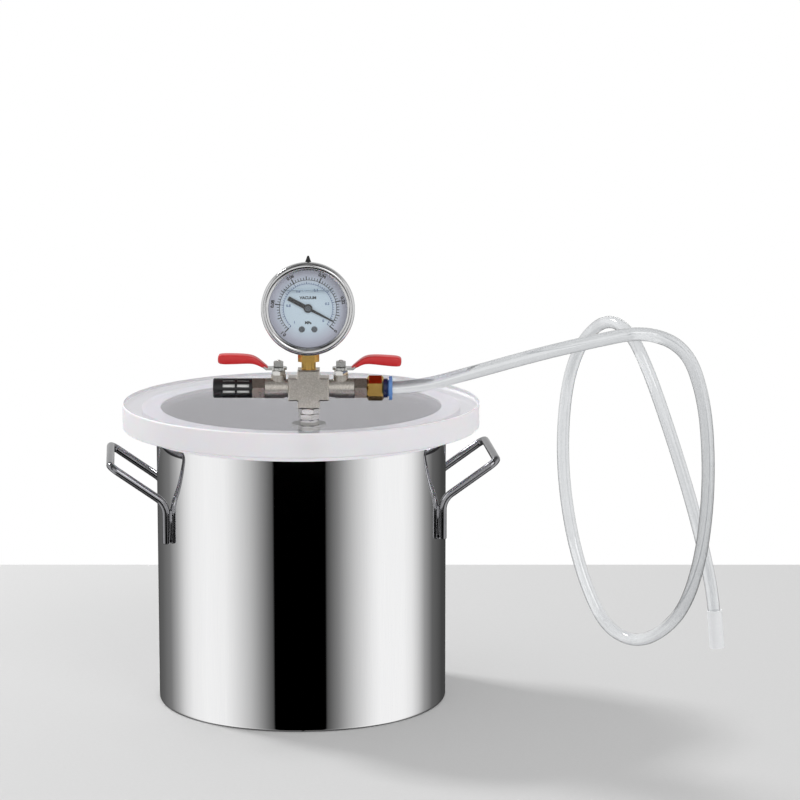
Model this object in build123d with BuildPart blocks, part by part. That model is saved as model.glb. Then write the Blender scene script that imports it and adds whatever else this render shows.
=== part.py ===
"""Vacuum degassing chamber: a steel pot with a clear lid, a gauge manifold and a hose.

Units are millimetres. +Z is up and the origin is the centre of the pot's underside.
The manifold's arms lie along X and the gauge looks along -Y.
"""

import os
from math import cos, radians, sin, sqrt, tan

from build123d import *

# ---------------------------------------------------------------- driving sizes

# Pot
pot_diameter = 220.0
pot_wall = 1.5
pot_height = 207.5
pot_base_radius = 2.5

# Wire handles
handle_wire = 6.0
handle_reach = 145.0
handle_spread = 89.0
handle_grip_height = 189.5
handle_knee_height = 160.5
handle_foot_height = 130.0
handle_knee_bend = 15.0
handle_grip_bend = 7.0
handle_turn = 4.75
weld_gap = 0.05

# Gasket
gasket_outer_diameter = 242.0
gasket_inner_diameter = 213.0
gasket_cushion = 3.5
gasket_skirt = 1.5
gasket_lip = 3.5
gasket_fit = 0.1

# Lid
lid_diameter = 271.0
lid_thickness = 18.5
lid_edge_chamfer = 0.8
port_x = 8.0
port_y = -76.0

# Pipe thread, drawn plain, and the running gap of every piece that turns or slides
thread_diameter = 13.0
thread_gap = 0.05
thread_depth = 8.0
running_gap = 0.05
flow_bore = 6.0

# Bulkhead nipple and what clamps it to the lid
nipple_hex = 14.0
nipple_hex_height = 4.2
jam_nut_height = 4.2
stack_gap = 0.1
lid_hole_gap = 0.3
washer_diameter = 25.0
seal_washer_thickness = 2.0
steel_washer_thickness = 1.5
clamp_nut_hex = 17.0
clamp_nut_height = 5.0
nipple_tail = 2.0
hex_chamfer = 0.6
nipple_chamfer = 0.4

# Cross
cross_rise = 14.4
cross_reach = 15.0
cross_width = 16.0
cross_height = 17.0
cross_inner_fillet = 1.0
cross_edge_chamfer = 1.0

# Ball valves
valve_standoff = {"left": 0.4, "right": 1.9}
valve_neck_diameter = 13.6
valve_neck_length = 2.4
valve_barrel_diameter = 15.0
valve_barrel_length = 14.2
valve_cap_hex = 14.4
valve_cap_turn = 20.0
valve_cap_length = 9.6
stem_offset = 4.4
ball_diameter = 9.0
cavity_diameter = 10.4
seat_reach = 5.2
seat_inset = 2.9
seat_bevel = 0.6
boss_diameter = 11.0
boss_height = 10.0
packing_diameter = 7.4
packing_floor = 6.8
packing_height = 2.0
gland_hex = 9.0
gland_height = 3.3
stem_diameter = 4.9
stem_flats = 3.4
stem_tip_diameter = 3.9
stem_tip_height = 21.0
ball_slot_width = 1.7
ball_slot_depth = 1.2
lever_plate_height = 13.9
lever_thickness = 1.8
lever_plate_diameter = 12.6
lever_arm_width = 9.0
lever_ramp_start = 9.0
lever_ramp_end = 18.5
lever_rise = 7.0
lever_droop = {"left": 0.0, "right": 1.8}
lever_length = 42.0
lever_nut_hex = 7.0
lever_nut_height = 4.4
grip_start = 7.4
grip_bend = 18.0
grip_end = 44.0
grip_width = 12.5
grip_tip_thickness = 2.8
grip_bend_thickness = 6.2
grip_end_thickness = 7.4
grip_corner = 2.6
grip_edge = 0.9

# Silencer
silencer_diameter = 14.5
silencer_wall = 1.5
silencer_length = 28.6
silencer_cap = 7.2
slot_length = 8.9
slot_width = 2.5
slot_web = 1.6
slot_columns = 2
slot_rows = 9
slot_first_angle = 24.0
filter_wall = 2.0

# Push fitting
fitting_hex = 16.4
fitting_hex_length = 11.9
fitting_collar_diameter = 14.3
fitting_collar_length = 3.1
collet_flange_diameter = 17.7
collet_flange_length = 2.5
collet_travel = 0.8
collet_tube_diameter = 12.2
collet_tube_length = 5.0
hose_diameter = 10.0
hose_bore = 6.5
hose_seat = 6.0
hose_gap = 0.2
o_ring_section = 1.6
claw_thickness = 0.6
claw_setback = 2.6

# Gauge
gauge_rise = 60.6
bezel_diameter = 68.4
bezel_opening = 57.4
bezel_front = 17.0
bezel_length = 8.6
bezel_skin = 1.2
case_diameter = 62.0
case_wall = 1.0
case_back = 13.0
case_front = 10.6
case_corner = 3.0
flange_diameter = 65.0
window_diameter = 64.4
window_thickness = 2.5
window_seal_thickness = 1.4
dial_diameter = 58.0
dial_thickness = 0.6
dial_setback = 8.0
dial_hole = 3.0
dial_screw_head = 4.2
dial_screw_spacing = 9.2
dial_screw_drop = 15.5
pointer_thickness = 0.6
pointer_lift = 1.6
pointer_tip = 20.6
pointer_tail = 16.2
pointer_hub = 6.4
needle_root = 1.7
needle_tip = 0.6
tail_width = 2.9
pointer_rest_angle = -27.5
arbor_diameter = 1.6
plate_thickness = 0.9
plate_spacing = 6.0
plate_margin = 6.0
plate_top = 7.0
socket_width = 15.6
socket_depth = 13.0
socket_neck_diameter = 10.6
socket_corner = 3.2
socket_neck_height = 5.7
bourdon_radius = 21.0
bourdon_width = 6.0
bourdon_thickness = 2.6
bourdon_depth = 4.0
bourdon_start = -23.8
bourdon_sweep = 222.0
vent_hole = 5.0
vent_height = 6.4
vent_flange = 8.0

# Hose end sleeve
sleeve_diameter = 12.4
sleeve_bore = 10.6
sleeve_length = 31.0
sleeve_overhang = 1.0

# ---------------------------------------------------------------- derived places

pot_radius = pot_diameter / 2
lid_bottom = pot_height + gasket_cushion
lid_top = lid_bottom + lid_thickness
jam_nut_bottom = lid_top + nipple_hex_height + stack_gap
cross_bottom = jam_nut_bottom + jam_nut_height + stack_gap
flow_z = cross_bottom + cross_rise
gauge_z = flow_z + gauge_rise
port_radius = thread_diameter / 2
port_hole_radius = port_radius + thread_gap
port_axis = Axis((port_x, port_y, 0), (0, 0, 1))
gauge_axis = Axis((port_x, port_y, gauge_z), (0, 1, 0))

pieces = {}


def arm_view(sign):
    """A plane through an arm's axis: x runs outward along the arm and y runs up."""
    return Plane((port_x, port_y, flow_z), x_dir=(sign, 0, 0), z_dir=(0, -sign, 0))


def arm_section(sign, distance):
    """A plane across an arm at a distance from the port axis, with x up."""
    origin = (port_x + sign * distance, port_y, flow_z)
    return Plane(origin, x_dir=(0, 0, 1), z_dir=(sign, 0, 0))


def arm_axis(sign):
    return Axis((port_x, port_y, flow_z), (sign, 0, 0))


def level(height, x=port_x, y=port_y):
    """A level plane at a height, centred on the port unless told otherwise."""
    return Plane((x, y, height), x_dir=(1, 0, 0), z_dir=(0, 0, 1))


# ---------------------------------------------------------------- pot and handles

with BuildPart() as pot:
    with BuildSketch(Plane.XY):
        Circle(pot_radius)
    extrude(amount=pot_height)
    fillet(pot.faces().sort_by(Axis.Z)[0].edges(), radius=pot_base_radius)
    offset(amount=-pot_wall, openings=pot.faces().sort_by(Axis.Z)[-1])
pieces["pot"] = pot.part

wire_centre_radius = pot_radius + handle_wire / 2 + weld_gap
half_spread = handle_spread / 2
leg_reach = sqrt(wire_centre_radius**2 - half_spread**2)

for side, turn in (("right", handle_turn), ("left", handle_turn + 180)):
    handle_frame = Plane.XY.rotated((0, 0, turn))
    with BuildPart() as handle:
        with BuildLine(handle_frame) as handle_path:
            FilletPolyline(
                (leg_reach, -half_spread, handle_foot_height),
                (leg_reach, -half_spread, handle_knee_height),
                (handle_reach, -half_spread, handle_grip_height),
                (handle_reach, half_spread, handle_grip_height),
                (leg_reach, half_spread, handle_knee_height),
                (leg_reach, half_spread, handle_foot_height),
                radius=[handle_knee_bend, handle_grip_bend, handle_grip_bend, handle_knee_bend],
            )
        foot = handle_path.line @ 0
        with BuildSketch(Plane(foot, z_dir=(0, 0, 1))):
            Circle(handle_wire / 2)
        sweep(path=handle_path.line)
    pieces[f"{side}_handle"] = handle.part

# ---------------------------------------------------------------- gasket and lid

gasket_inner = gasket_inner_diameter / 2
gasket_outer = gasket_outer_diameter / 2
rim_outer = pot_radius + gasket_fit
rim_inner = pot_radius - pot_wall - gasket_fit

with BuildPart() as gasket:
    with BuildSketch(Plane.XZ):
        Polygon(
            (gasket_inner, lid_bottom),
            (gasket_outer, lid_bottom),
            (gasket_outer, pot_height - gasket_skirt),
            (rim_outer, pot_height - gasket_skirt),
            (rim_outer, pot_height),
            (rim_inner, pot_height),
            (rim_inner, pot_height - gasket_lip),
            (gasket_inner, pot_height - gasket_lip),
            align=None,
        )
    revolve(axis=Axis.Z)
pieces["gasket"] = gasket.part

with BuildPart() as lid:
    with BuildSketch(Plane.XY.offset(lid_bottom)):
        Circle(lid_diameter / 2)
    extrude(amount=lid_thickness)
    chamfer(lid.edges().filter_by(GeomType.CIRCLE), length=lid_edge_chamfer)
    with BuildSketch(level(lid_bottom)):
        Circle(port_radius + lid_hole_gap)
    extrude(amount=lid_thickness, mode=Mode.SUBTRACT)
pieces["lid"] = lid.part

# ---------------------------------------------------------------- nipple and its clamp


def chamfer_hex(piece, planes_z):
    """Break the end corners of a nut or hex between two heights."""
    ends = piece.faces().filter_by(Axis.Z)
    edges = [e for face in ends for e in face.outer_wire().edges() if e.geom_type == GeomType.LINE]
    return [e for e in edges if min(abs(e.center().Z - z) for z in planes_z) < 0.001]


seal_washer_bottom = lid_bottom - seal_washer_thickness
steel_washer_bottom = seal_washer_bottom - steel_washer_thickness
clamp_nut_bottom = steel_washer_bottom - clamp_nut_height
nipple_bottom = clamp_nut_bottom - nipple_tail
nipple_top = cross_bottom + thread_depth

with BuildPart() as hex_nipple:
    with BuildSketch(level(nipple_bottom)):
        Circle(port_radius)
    extrude(amount=nipple_top - nipple_bottom)
    with BuildSketch(level(lid_top)):
        RegularPolygon(nipple_hex / 2, 6, major_radius=False, rotation=12)
    extrude(amount=nipple_hex_height)
    chamfer(chamfer_hex(hex_nipple, (lid_top, lid_top + nipple_hex_height)), length=nipple_chamfer)
    with BuildSketch(level(nipple_bottom)):
        Circle(flow_bore / 2)
    extrude(amount=nipple_top - nipple_bottom, mode=Mode.SUBTRACT)
pieces["hex_nipple"] = hex_nipple.part

with BuildPart() as jam_nut:
    with BuildSketch(level(jam_nut_bottom)):
        RegularPolygon(nipple_hex / 2, 6, major_radius=False, rotation=24)
    extrude(amount=jam_nut_height)
    nut_ends = (jam_nut_bottom, jam_nut_bottom + jam_nut_height)
    chamfer(chamfer_hex(jam_nut, nut_ends), length=nipple_chamfer)
    with BuildSketch(level(jam_nut_bottom)):
        Circle(port_hole_radius)
    extrude(amount=jam_nut_height, mode=Mode.SUBTRACT)
pieces["jam_nut"] = jam_nut.part

for name, bottom, thickness in (
    ("lid_seal_washer", seal_washer_bottom, seal_washer_thickness),
    ("lid_steel_washer", steel_washer_bottom, steel_washer_thickness),
):
    with BuildPart() as washer:
        with BuildSketch(level(bottom)):
            Circle(washer_diameter / 2)
            Circle(port_hole_radius, mode=Mode.SUBTRACT)
        extrude(amount=thickness)
    pieces[name] = washer.part

with BuildPart() as clamp_nut:
    with BuildSketch(level(clamp_nut_bottom)):
        RegularPolygon(clamp_nut_hex / 2, 6, major_radius=False)
    extrude(amount=clamp_nut_height)
    chamfer(chamfer_hex(clamp_nut, (clamp_nut_bottom,)), length=hex_chamfer)
    with BuildSketch(level(clamp_nut_bottom)):
        Circle(port_hole_radius)
    extrude(amount=clamp_nut_height, mode=Mode.SUBTRACT)
pieces["clamp_nut"] = clamp_nut.part

# ---------------------------------------------------------------- cross

front_view = Plane((port_x, port_y, flow_z), x_dir=(1, 0, 0), z_dir=(0, -1, 0))

with BuildPart() as cross:
    with BuildSketch(front_view) as cross_outline:
        Rectangle(cross_width, 2 * cross_rise)
        Rectangle(2 * cross_reach, cross_height)
        inner_corners = cross_outline.vertices().sort_by_distance((0, 0, 0))[:4]
        fillet(inner_corners, radius=cross_inner_fillet)
    extrude(amount=cross_width / 2, both=True)
    skins = cross.faces().filter_by(Axis.Y)
    chamfer(skins.edges(), length=cross_edge_chamfer)
    with BuildSketch(level(flow_z - cross_rise)):
        Circle(flow_bore / 2)
    extrude(amount=2 * cross_rise, mode=Mode.SUBTRACT)
    with BuildSketch(arm_section(-1, -cross_reach)):
        Circle(flow_bore / 2)
    extrude(amount=2 * cross_reach, mode=Mode.SUBTRACT)
    for end in (level(cross_bottom), level(flow_z + cross_rise - thread_depth)):
        with BuildSketch(end):
            Circle(port_hole_radius)
        extrude(amount=thread_depth, mode=Mode.SUBTRACT)
    for sign in (-1, 1):
        with BuildSketch(arm_section(sign, cross_reach - thread_depth)):
            Circle(port_hole_radius)
        extrude(amount=thread_depth, mode=Mode.SUBTRACT)
pieces["cross"] = cross.part

# ---------------------------------------------------------------- ball valves

barrel_radius = valve_barrel_diameter / 2
cavity_radius = cavity_diameter / 2
stem_hole_radius = stem_diameter / 2 + running_gap
valve_end = {}
stem_x = {}

for side, sign in (("left", -1), ("right", 1)):
    neck_start = cross_reach + valve_standoff[side]
    barrel_start = neck_start + valve_neck_length
    barrel_end = barrel_start + valve_barrel_length
    cap_end = barrel_end + valve_cap_length
    stem_at = barrel_start + stem_offset
    valve_end[side] = cap_end
    stem_x[side] = port_x + sign * stem_at
    stem_centre = (stem_x[side], port_y)

    with BuildPart() as valve_body:
        with BuildSketch(arm_section(sign, cross_reach - thread_depth)):
            Circle(port_radius)
        extrude(amount=thread_depth + valve_standoff[side])
        with BuildSketch(arm_section(sign, neck_start)):
            Circle(valve_neck_diameter / 2)
        extrude(amount=valve_neck_length)
        with BuildSketch(arm_section(sign, barrel_start)):
            Circle(barrel_radius)
        extrude(amount=valve_barrel_length)
        with BuildSketch(level(flow_z, *stem_centre)):
            Circle(boss_diameter / 2)
        extrude(amount=boss_height)
        with BuildSketch(arm_section(sign, cross_reach - thread_depth)):
            Circle(flow_bore / 2)
        extrude(amount=barrel_end - cross_reach + thread_depth, mode=Mode.SUBTRACT)
        with BuildSketch(arm_section(sign, stem_at - seat_reach)):
            Circle(cavity_radius)
        extrude(amount=barrel_end - stem_at + seat_reach, mode=Mode.SUBTRACT)
        with BuildSketch(level(flow_z, *stem_centre)):
            Circle(stem_hole_radius)
        extrude(amount=boss_height, mode=Mode.SUBTRACT)
        with BuildSketch(level(flow_z + packing_floor, *stem_centre)):
            Circle(packing_diameter / 2)
        extrude(amount=boss_height - packing_floor, mode=Mode.SUBTRACT)
    pieces[f"{side}_valve_body"] = valve_body.part

    with BuildPart() as valve_cap:
        with BuildSketch(arm_section(sign, stem_at + seat_reach)):
            Circle(cavity_radius - thread_gap)
        extrude(amount=barrel_end - stem_at - seat_reach)
        with BuildSketch(arm_section(sign, barrel_end)):
            RegularPolygon(valve_cap_hex / 2, 6, major_radius=False, rotation=sign * valve_cap_turn)
        extrude(amount=valve_cap_length)
        rims = valve_cap.faces().sort_by(Axis((0, 0, 0), (sign, 0, 0)))[-1].edges()
        chamfer(rims, length=nipple_chamfer)
        with BuildSketch(arm_section(sign, stem_at + seat_reach)):
            Circle(flow_bore / 2)
        extrude(amount=cap_end - stem_at - seat_reach, mode=Mode.SUBTRACT)
        with BuildSketch(arm_section(sign, cap_end - thread_depth)):
            Circle(port_hole_radius)
        extrude(amount=thread_depth, mode=Mode.SUBTRACT)
    pieces[f"{side}_valve_cap"] = valve_cap.part

    with BuildPart() as ball_seats:
        for way in (-1, 1):
            with BuildSketch(arm_view(sign)):
                Polygon(
                    (stem_at + way * seat_inset, flow_bore / 2 + seat_bevel),
                    (stem_at + way * (seat_inset + seat_bevel), flow_bore / 2),
                    (stem_at + way * seat_reach, flow_bore / 2),
                    (stem_at + way * seat_reach, cavity_radius - thread_gap),
                    (stem_at + way * seat_inset, cavity_radius - thread_gap),
                    align=None,
                )
        revolve(axis=arm_axis(sign))
    pieces[f"{side}_ball_seats"] = ball_seats.part

    slot_floor = flow_z + ball_diameter / 2 - ball_slot_depth
    with BuildPart() as ball:
        with Locations((*stem_centre, flow_z)):
            Sphere(ball_diameter / 2)
        with BuildSketch(arm_section(sign, stem_at - ball_diameter / 2)):
            Circle(flow_bore / 2)
        extrude(amount=ball_diameter, mode=Mode.SUBTRACT)
        with BuildSketch(level(slot_floor, *stem_centre)):
            Rectangle(ball_slot_width, ball_diameter)
        extrude(amount=ball_slot_depth, mode=Mode.SUBTRACT)
    pieces[f"{side}_ball"] = ball.part

    plate_z = flow_z + lever_plate_height
    nut_z = plate_z + lever_thickness
    shank_bottom = flow_z + ball_diameter / 2
    with BuildPart() as stem:
        with BuildSketch(level(slot_floor + stack_gap, *stem_centre)):
            Rectangle(ball_slot_width - 2 * running_gap, stem_diameter * 0.8)
        extrude(amount=shank_bottom - slot_floor)
        with BuildSketch(level(shank_bottom, *stem_centre)):
            Circle(stem_diameter / 2)
        extrude(amount=plate_z - shank_bottom)
        with BuildSketch(level(plate_z, *stem_centre)):
            Circle(stem_diameter / 2)
            Rectangle(stem_diameter, stem_flats, mode=Mode.INTERSECT)
        extrude(amount=lever_thickness)
        with BuildSketch(level(nut_z, *stem_centre)):
            Circle(stem_flats / 2)
        extrude(amount=flow_z + stem_tip_height - nut_z)
        chamfer(stem.faces().sort_by(Axis.Z)[-1].edges(), length=stem_flats / 6)
    pieces[f"{side}_stem"] = stem.part

    with BuildPart() as packing:
        with BuildSketch(level(flow_z + packing_floor, *stem_centre)):
            Circle(packing_diameter / 2)
            Circle(stem_hole_radius, mode=Mode.SUBTRACT)
        extrude(amount=packing_height)
    pieces[f"{side}_packing"] = packing.part

    gland_bottom = flow_z + packing_floor + packing_height
    with BuildPart() as gland_nut:
        with BuildSketch(level(gland_bottom, *stem_centre)):
            Circle(packing_diameter / 2 - thread_gap)
        extrude(amount=flow_z + boss_height - gland_bottom)
        with BuildSketch(level(flow_z + boss_height, *stem_centre)):
            RegularPolygon(gland_hex / 2, 6, major_radius=False, rotation=15)
        extrude(amount=gland_height)
        chamfer(chamfer_hex(gland_nut, (flow_z + boss_height + gland_height,)), length=hex_chamfer / 2)
        with BuildSketch(level(gland_bottom, *stem_centre)):
            Circle(stem_hole_radius)
        extrude(amount=boss_height + gland_height, mode=Mode.SUBTRACT)
    pieces[f"{side}_gland_nut"] = gland_nut.part

    droop = lever_droop[side]
    lever_side = Plane((stem_x[side], port_y, plate_z), x_dir=(sign, 0, 0), z_dir=(0, -sign, 0))
    with BuildPart() as lever:
        with BuildSketch(lever_side):
            Polygon(
                (-lever_plate_diameter / 2, 0),
                (lever_ramp_start, 0),
                (lever_ramp_end, lever_rise),
                (lever_length, lever_rise - droop),
                (lever_length, lever_rise - droop + lever_thickness),
                (lever_ramp_end - lever_thickness / 3, lever_rise + lever_thickness),
                (lever_ramp_start - lever_thickness / 3, lever_thickness),
                (-lever_plate_diameter / 2, lever_thickness),
                align=None,
            )
        extrude(amount=lever_plate_diameter / 2, both=True)
        with BuildSketch(level(plate_z, *stem_centre)):
            Circle(lever_plate_diameter / 2)
            with Locations((sign * lever_length / 2, 0)):
                Rectangle(lever_length, lever_arm_width)
        extrude(amount=lever_rise + 2 * lever_thickness, mode=Mode.INTERSECT)
        with BuildSketch(level(plate_z, *stem_centre)):
            Circle(stem_diameter / 2 + running_gap)
            Rectangle(stem_diameter * 2, stem_flats + 2 * running_gap, mode=Mode.INTERSECT)
        extrude(amount=lever_thickness, mode=Mode.SUBTRACT)
    pieces[f"{side}_lever"] = lever.part

    arm_z = lever_rise + lever_thickness / 2
    tip_z = lever_thickness / 2
    with BuildPart() as grip:
        with BuildSketch(lever_side):
            Polygon(
                (grip_start, tip_z - grip_tip_thickness / 2),
                (grip_bend + 2, arm_z - grip_bend_thickness / 2),
                (grip_end, arm_z - droop - grip_end_thickness / 2),
                (grip_end, arm_z - droop + grip_end_thickness / 2),
                (grip_bend, arm_z + grip_bend_thickness / 2),
                (grip_start, tip_z + grip_tip_thickness / 2),
                align=None,
            )
        extrude(amount=grip_width / 2, both=True)
        outer_edges = grip.edges().filter_by(Axis.Y).sort_by(Axis((0, 0, 0), (sign, 0, 0)))
        fillet(outer_edges[-2:], radius=grip_corner)
        fillet(grip.faces().filter_by(Axis.Y).edges(), radius=grip_edge)
        add(lever.part, mode=Mode.SUBTRACT)
    pieces[f"{side}_grip"] = grip.part

    with BuildPart() as lever_nut:
        with BuildSketch(level(nut_z, *stem_centre)):
            RegularPolygon(lever_nut_hex / 2, 6, major_radius=False)
        extrude(amount=lever_nut_height)
        chamfer(chamfer_hex(lever_nut, (nut_z + lever_nut_height,)), length=hex_chamfer)
        with BuildSketch(level(nut_z, *stem_centre)):
            Circle(stem_flats / 2 + thread_gap)
        extrude(amount=lever_nut_height, mode=Mode.SUBTRACT)
    pieces[f"{side}_lever_nut"] = lever_nut.part

# ---------------------------------------------------------------- silencer, left arm

silencer_start = valve_end["left"]
silencer_end = silencer_start + silencer_length
slot_start = silencer_end - silencer_cap - slot_columns * slot_length - (slot_columns - 1) * slot_web
filter_start = silencer_start + silencer_wall
filter_end = silencer_end - silencer_cap + silencer_wall / 2
silencer_radius = silencer_diameter / 2
silencer_inner = silencer_radius - silencer_wall

with BuildPart() as silencer_housing:
    with BuildSketch(arm_section(-1, silencer_start - thread_depth)):
        Circle(port_radius)
    extrude(amount=thread_depth)
    with BuildSketch(arm_section(-1, silencer_start)):
        Circle(silencer_radius)
    extrude(amount=silencer_length)
    chamfer(silencer_housing.faces().sort_by(Axis.X)[0].edges(), length=hex_chamfer)
    with BuildSketch(arm_section(-1, silencer_start - thread_depth)):
        Circle(flow_bore / 2)
    extrude(amount=thread_depth + silencer_wall, mode=Mode.SUBTRACT)
    with BuildSketch(arm_section(-1, filter_start)):
        Circle(silencer_inner)
    extrude(amount=filter_end - filter_start, mode=Mode.SUBTRACT)
    for column in range(slot_columns):
        middle = slot_start + slot_length / 2 + column * (slot_length + slot_web)
        for row in range(slot_rows):
            angle = slot_first_angle + row * 360 / slot_rows
            radial = (0, -cos(radians(angle)), sin(radians(angle)))
            slot_plane = Plane((port_x - middle, port_y, flow_z), x_dir=(1, 0, 0), z_dir=radial)
            with BuildSketch(slot_plane):
                Rectangle(slot_length, slot_width)
            extrude(amount=silencer_diameter, mode=Mode.SUBTRACT)
pieces["silencer_housing"] = silencer_housing.part

with BuildPart() as silencer_filter:
    with BuildSketch(arm_section(-1, filter_start)):
        Circle(silencer_inner - thread_gap)
        Circle(silencer_inner - filter_wall, mode=Mode.SUBTRACT)
    extrude(amount=filter_end - filter_start)
pieces["silencer_filter"] = silencer_filter.part

# ---------------------------------------------------------------- push fitting, right arm

fitting_start = valve_end["right"]
fitting_end = fitting_start + fitting_hex_length
collar_end = fitting_end + fitting_collar_length
flange_start = collar_end + collet_travel + stack_gap
flange_end = flange_start + collet_flange_length
hose_start = fitting_start + hose_seat
hose_radius = hose_diameter / 2
collet_bore = hose_radius + hose_gap
collet_radius = collet_tube_diameter / 2
bush_bore = collet_radius + running_gap
collet_inner_end = flange_start - collet_tube_length - collet_travel
chamber_start = collet_inner_end - claw_setback

with BuildPart() as fitting_body:
    with BuildSketch(arm_section(1, fitting_start - thread_depth)):
        Circle(port_radius)
    extrude(amount=thread_depth)
    with BuildSketch(arm_section(1, fitting_start)):
        RegularPolygon(fitting_hex / 2, 6, major_radius=False)
    extrude(amount=fitting_hex_length)
    hex_ends = fitting_body.faces().filter_by(Axis.X)
    hex_edges = [e for face in hex_ends for e in face.edges() if e.geom_type == GeomType.LINE]
    chamfer(hex_edges, length=hex_chamfer * 2)
    with BuildSketch(arm_section(1, fitting_start - thread_depth)):
        Circle(flow_bore / 2)
    extrude(amount=thread_depth + hose_seat, mode=Mode.SUBTRACT)
    with BuildSketch(arm_section(1, hose_start)):
        Circle(collet_bore)
    extrude(amount=fitting_hex_length, mode=Mode.SUBTRACT)
    with BuildSketch(arm_section(1, chamber_start)):
        Circle(bush_bore)
    extrude(amount=fitting_hex_length, mode=Mode.SUBTRACT)
pieces["fitting_body"] = fitting_body.part

with BuildPart() as fitting_collar:
    with BuildSketch(arm_section(1, fitting_end)):
        Circle(fitting_collar_diameter / 2)
        Circle(bush_bore, mode=Mode.SUBTRACT)
    extrude(amount=fitting_collar_length)
    chamfer(fitting_collar.faces().sort_by(Axis.X)[-1].edges().sort_by(SortBy.LENGTH)[-1], length=0.4)
pieces["fitting_collar"] = fitting_collar.part

with BuildPart() as fitting_claw:
    with BuildSketch(arm_section(1, chamber_start)):
        Circle(collet_radius)
        Circle(collet_bore, mode=Mode.SUBTRACT)
    extrude(amount=claw_thickness)
pieces["fitting_claw"] = fitting_claw.part

with BuildPart() as release_collet:
    with BuildSketch(arm_section(1, collet_inner_end + collet_travel)):
        Circle(collet_radius)
    extrude(amount=flange_start - collet_inner_end - collet_travel)
    with BuildSketch(arm_section(1, flange_start)):
        Circle(collet_flange_diameter / 2)
    extrude(amount=collet_flange_length)
    fillet(release_collet.faces().sort_by(Axis.X)[-1].edges(), radius=hex_chamfer)
    with BuildSketch(arm_section(1, collet_inner_end + collet_travel)):
        Circle(collet_bore)
    extrude(amount=flange_end - collet_inner_end - collet_travel, mode=Mode.SUBTRACT)
pieces["release_collet"] = release_collet.part

# ---------------------------------------------------------------- gauge

gauge_section = Plane((port_x, port_y, gauge_z), x_dir=(0, 1, 0), z_dir=(1, 0, 0))
case_radius = case_diameter / 2
flange_radius = flange_diameter / 2
bezel_radius = bezel_diameter / 2
seal_front = -(case_front + window_seal_thickness)
window_front = seal_front - window_thickness
bezel_back = bezel_length - bezel_front
neck_bottom = flow_z + cross_rise
block_bottom = neck_bottom + socket_neck_height
dial_front = -dial_setback


def facing(depth):
    """A plane facing the reader of the gauge, at a depth behind the port axis."""
    return Plane((port_x, port_y + depth, gauge_z), x_dir=(1, 0, 0), z_dir=(0, -1, 0))


with BuildPart() as gauge_socket:
    with BuildSketch(level(neck_bottom - thread_depth)):
        Circle(port_radius)
    extrude(amount=thread_depth)
    with BuildSketch(level(neck_bottom)):
        Circle(socket_neck_diameter / 2)
    extrude(amount=socket_neck_height)
    with BuildSketch(level(block_bottom)):
        Rectangle(socket_width, socket_depth)
    extrude(amount=gauge_z - bourdon_radius + bourdon_thickness - block_bottom)
    block_corners = gauge_socket.edges().filter_by(Axis.Z).sort_by(SortBy.LENGTH)[-4:]
    chamfer(block_corners, length=socket_corner)
    with BuildSketch(level(neck_bottom - thread_depth)):
        Circle(flow_bore / 3)
    extrude(amount=gauge_rise - bourdon_radius - cross_rise + thread_depth, mode=Mode.SUBTRACT)
pieces["gauge_socket"] = gauge_socket.part

with BuildPart() as gauge_case:
    with BuildSketch(gauge_section) as case_section:
        Polygon(
            (-case_front, case_radius - case_wall),
            (-case_front, flange_radius),
            (-case_front + case_wall, flange_radius),
            (-case_front + case_wall, case_radius),
            (case_back, case_radius),
            (case_back, 0),
            (case_back - case_wall, 0),
            (case_back - case_wall, case_radius - case_wall),
            align=None,
        )
    revolve(axis=gauge_axis)
    back_rim = gauge_case.faces().sort_by(Axis.Y)[-1].edges()
    fillet(back_rim, radius=case_corner * 0.6)
    with BuildSketch(level(block_bottom)):
        Rectangle(socket_width + 2 * thread_gap, socket_depth + 2 * thread_gap)
    extrude(amount=gauge_rise - cross_rise - socket_neck_height, mode=Mode.SUBTRACT)
    with BuildSketch(level(gauge_z)):
        Circle(vent_hole / 2)
    extrude(amount=bezel_diameter, mode=Mode.SUBTRACT)
pieces["gauge_case"] = gauge_case.part

with BuildPart() as gauge_bezel:
    with BuildSketch(gauge_section):
        Polygon(
            (-bezel_front, bezel_opening / 2 + bezel_skin),
            (-bezel_front, bezel_radius - 2 * bezel_skin),
            (-bezel_front + 2 * bezel_skin, bezel_radius),
            (bezel_back - bezel_skin, bezel_radius),
            (bezel_back, bezel_radius - bezel_skin),
            (bezel_back, case_radius + thread_gap),
            (-case_front + case_wall + thread_gap, case_radius + thread_gap),
            (-case_front + case_wall + thread_gap, flange_radius + thread_gap),
            (window_front - thread_gap, flange_radius + thread_gap),
            (window_front - thread_gap, bezel_opening / 2),
            (-bezel_front + bezel_skin / 2, bezel_opening / 2),
            align=None,
        )
    revolve(axis=gauge_axis)
pieces["gauge_bezel"] = gauge_bezel.part

with BuildPart() as gauge_window:
    with BuildSketch(facing(seal_front)):
        Circle(window_diameter / 2)
    extrude(amount=window_thickness)
pieces["gauge_window"] = gauge_window.part

with BuildPart() as window_seal:
    with BuildSketch(facing(-case_front)):
        Circle(window_diameter / 2)
        Circle(dial_diameter / 2 + thread_gap, mode=Mode.SUBTRACT)
    extrude(amount=window_seal_thickness)
pieces["window_seal"] = window_seal.part

with BuildPart() as dial:
    with BuildSketch(facing(dial_front + dial_thickness)):
        Circle(dial_diameter / 2)
        Circle(dial_hole / 2, mode=Mode.SUBTRACT)
        with Locations((0, -dial_screw_drop)):
            with GridLocations(dial_screw_spacing, 0, 2, 1):
                Circle(dial_screw_head / 4 + thread_gap, mode=Mode.SUBTRACT)
    extrude(amount=dial_thickness)
pieces["dial"] = dial.part

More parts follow.
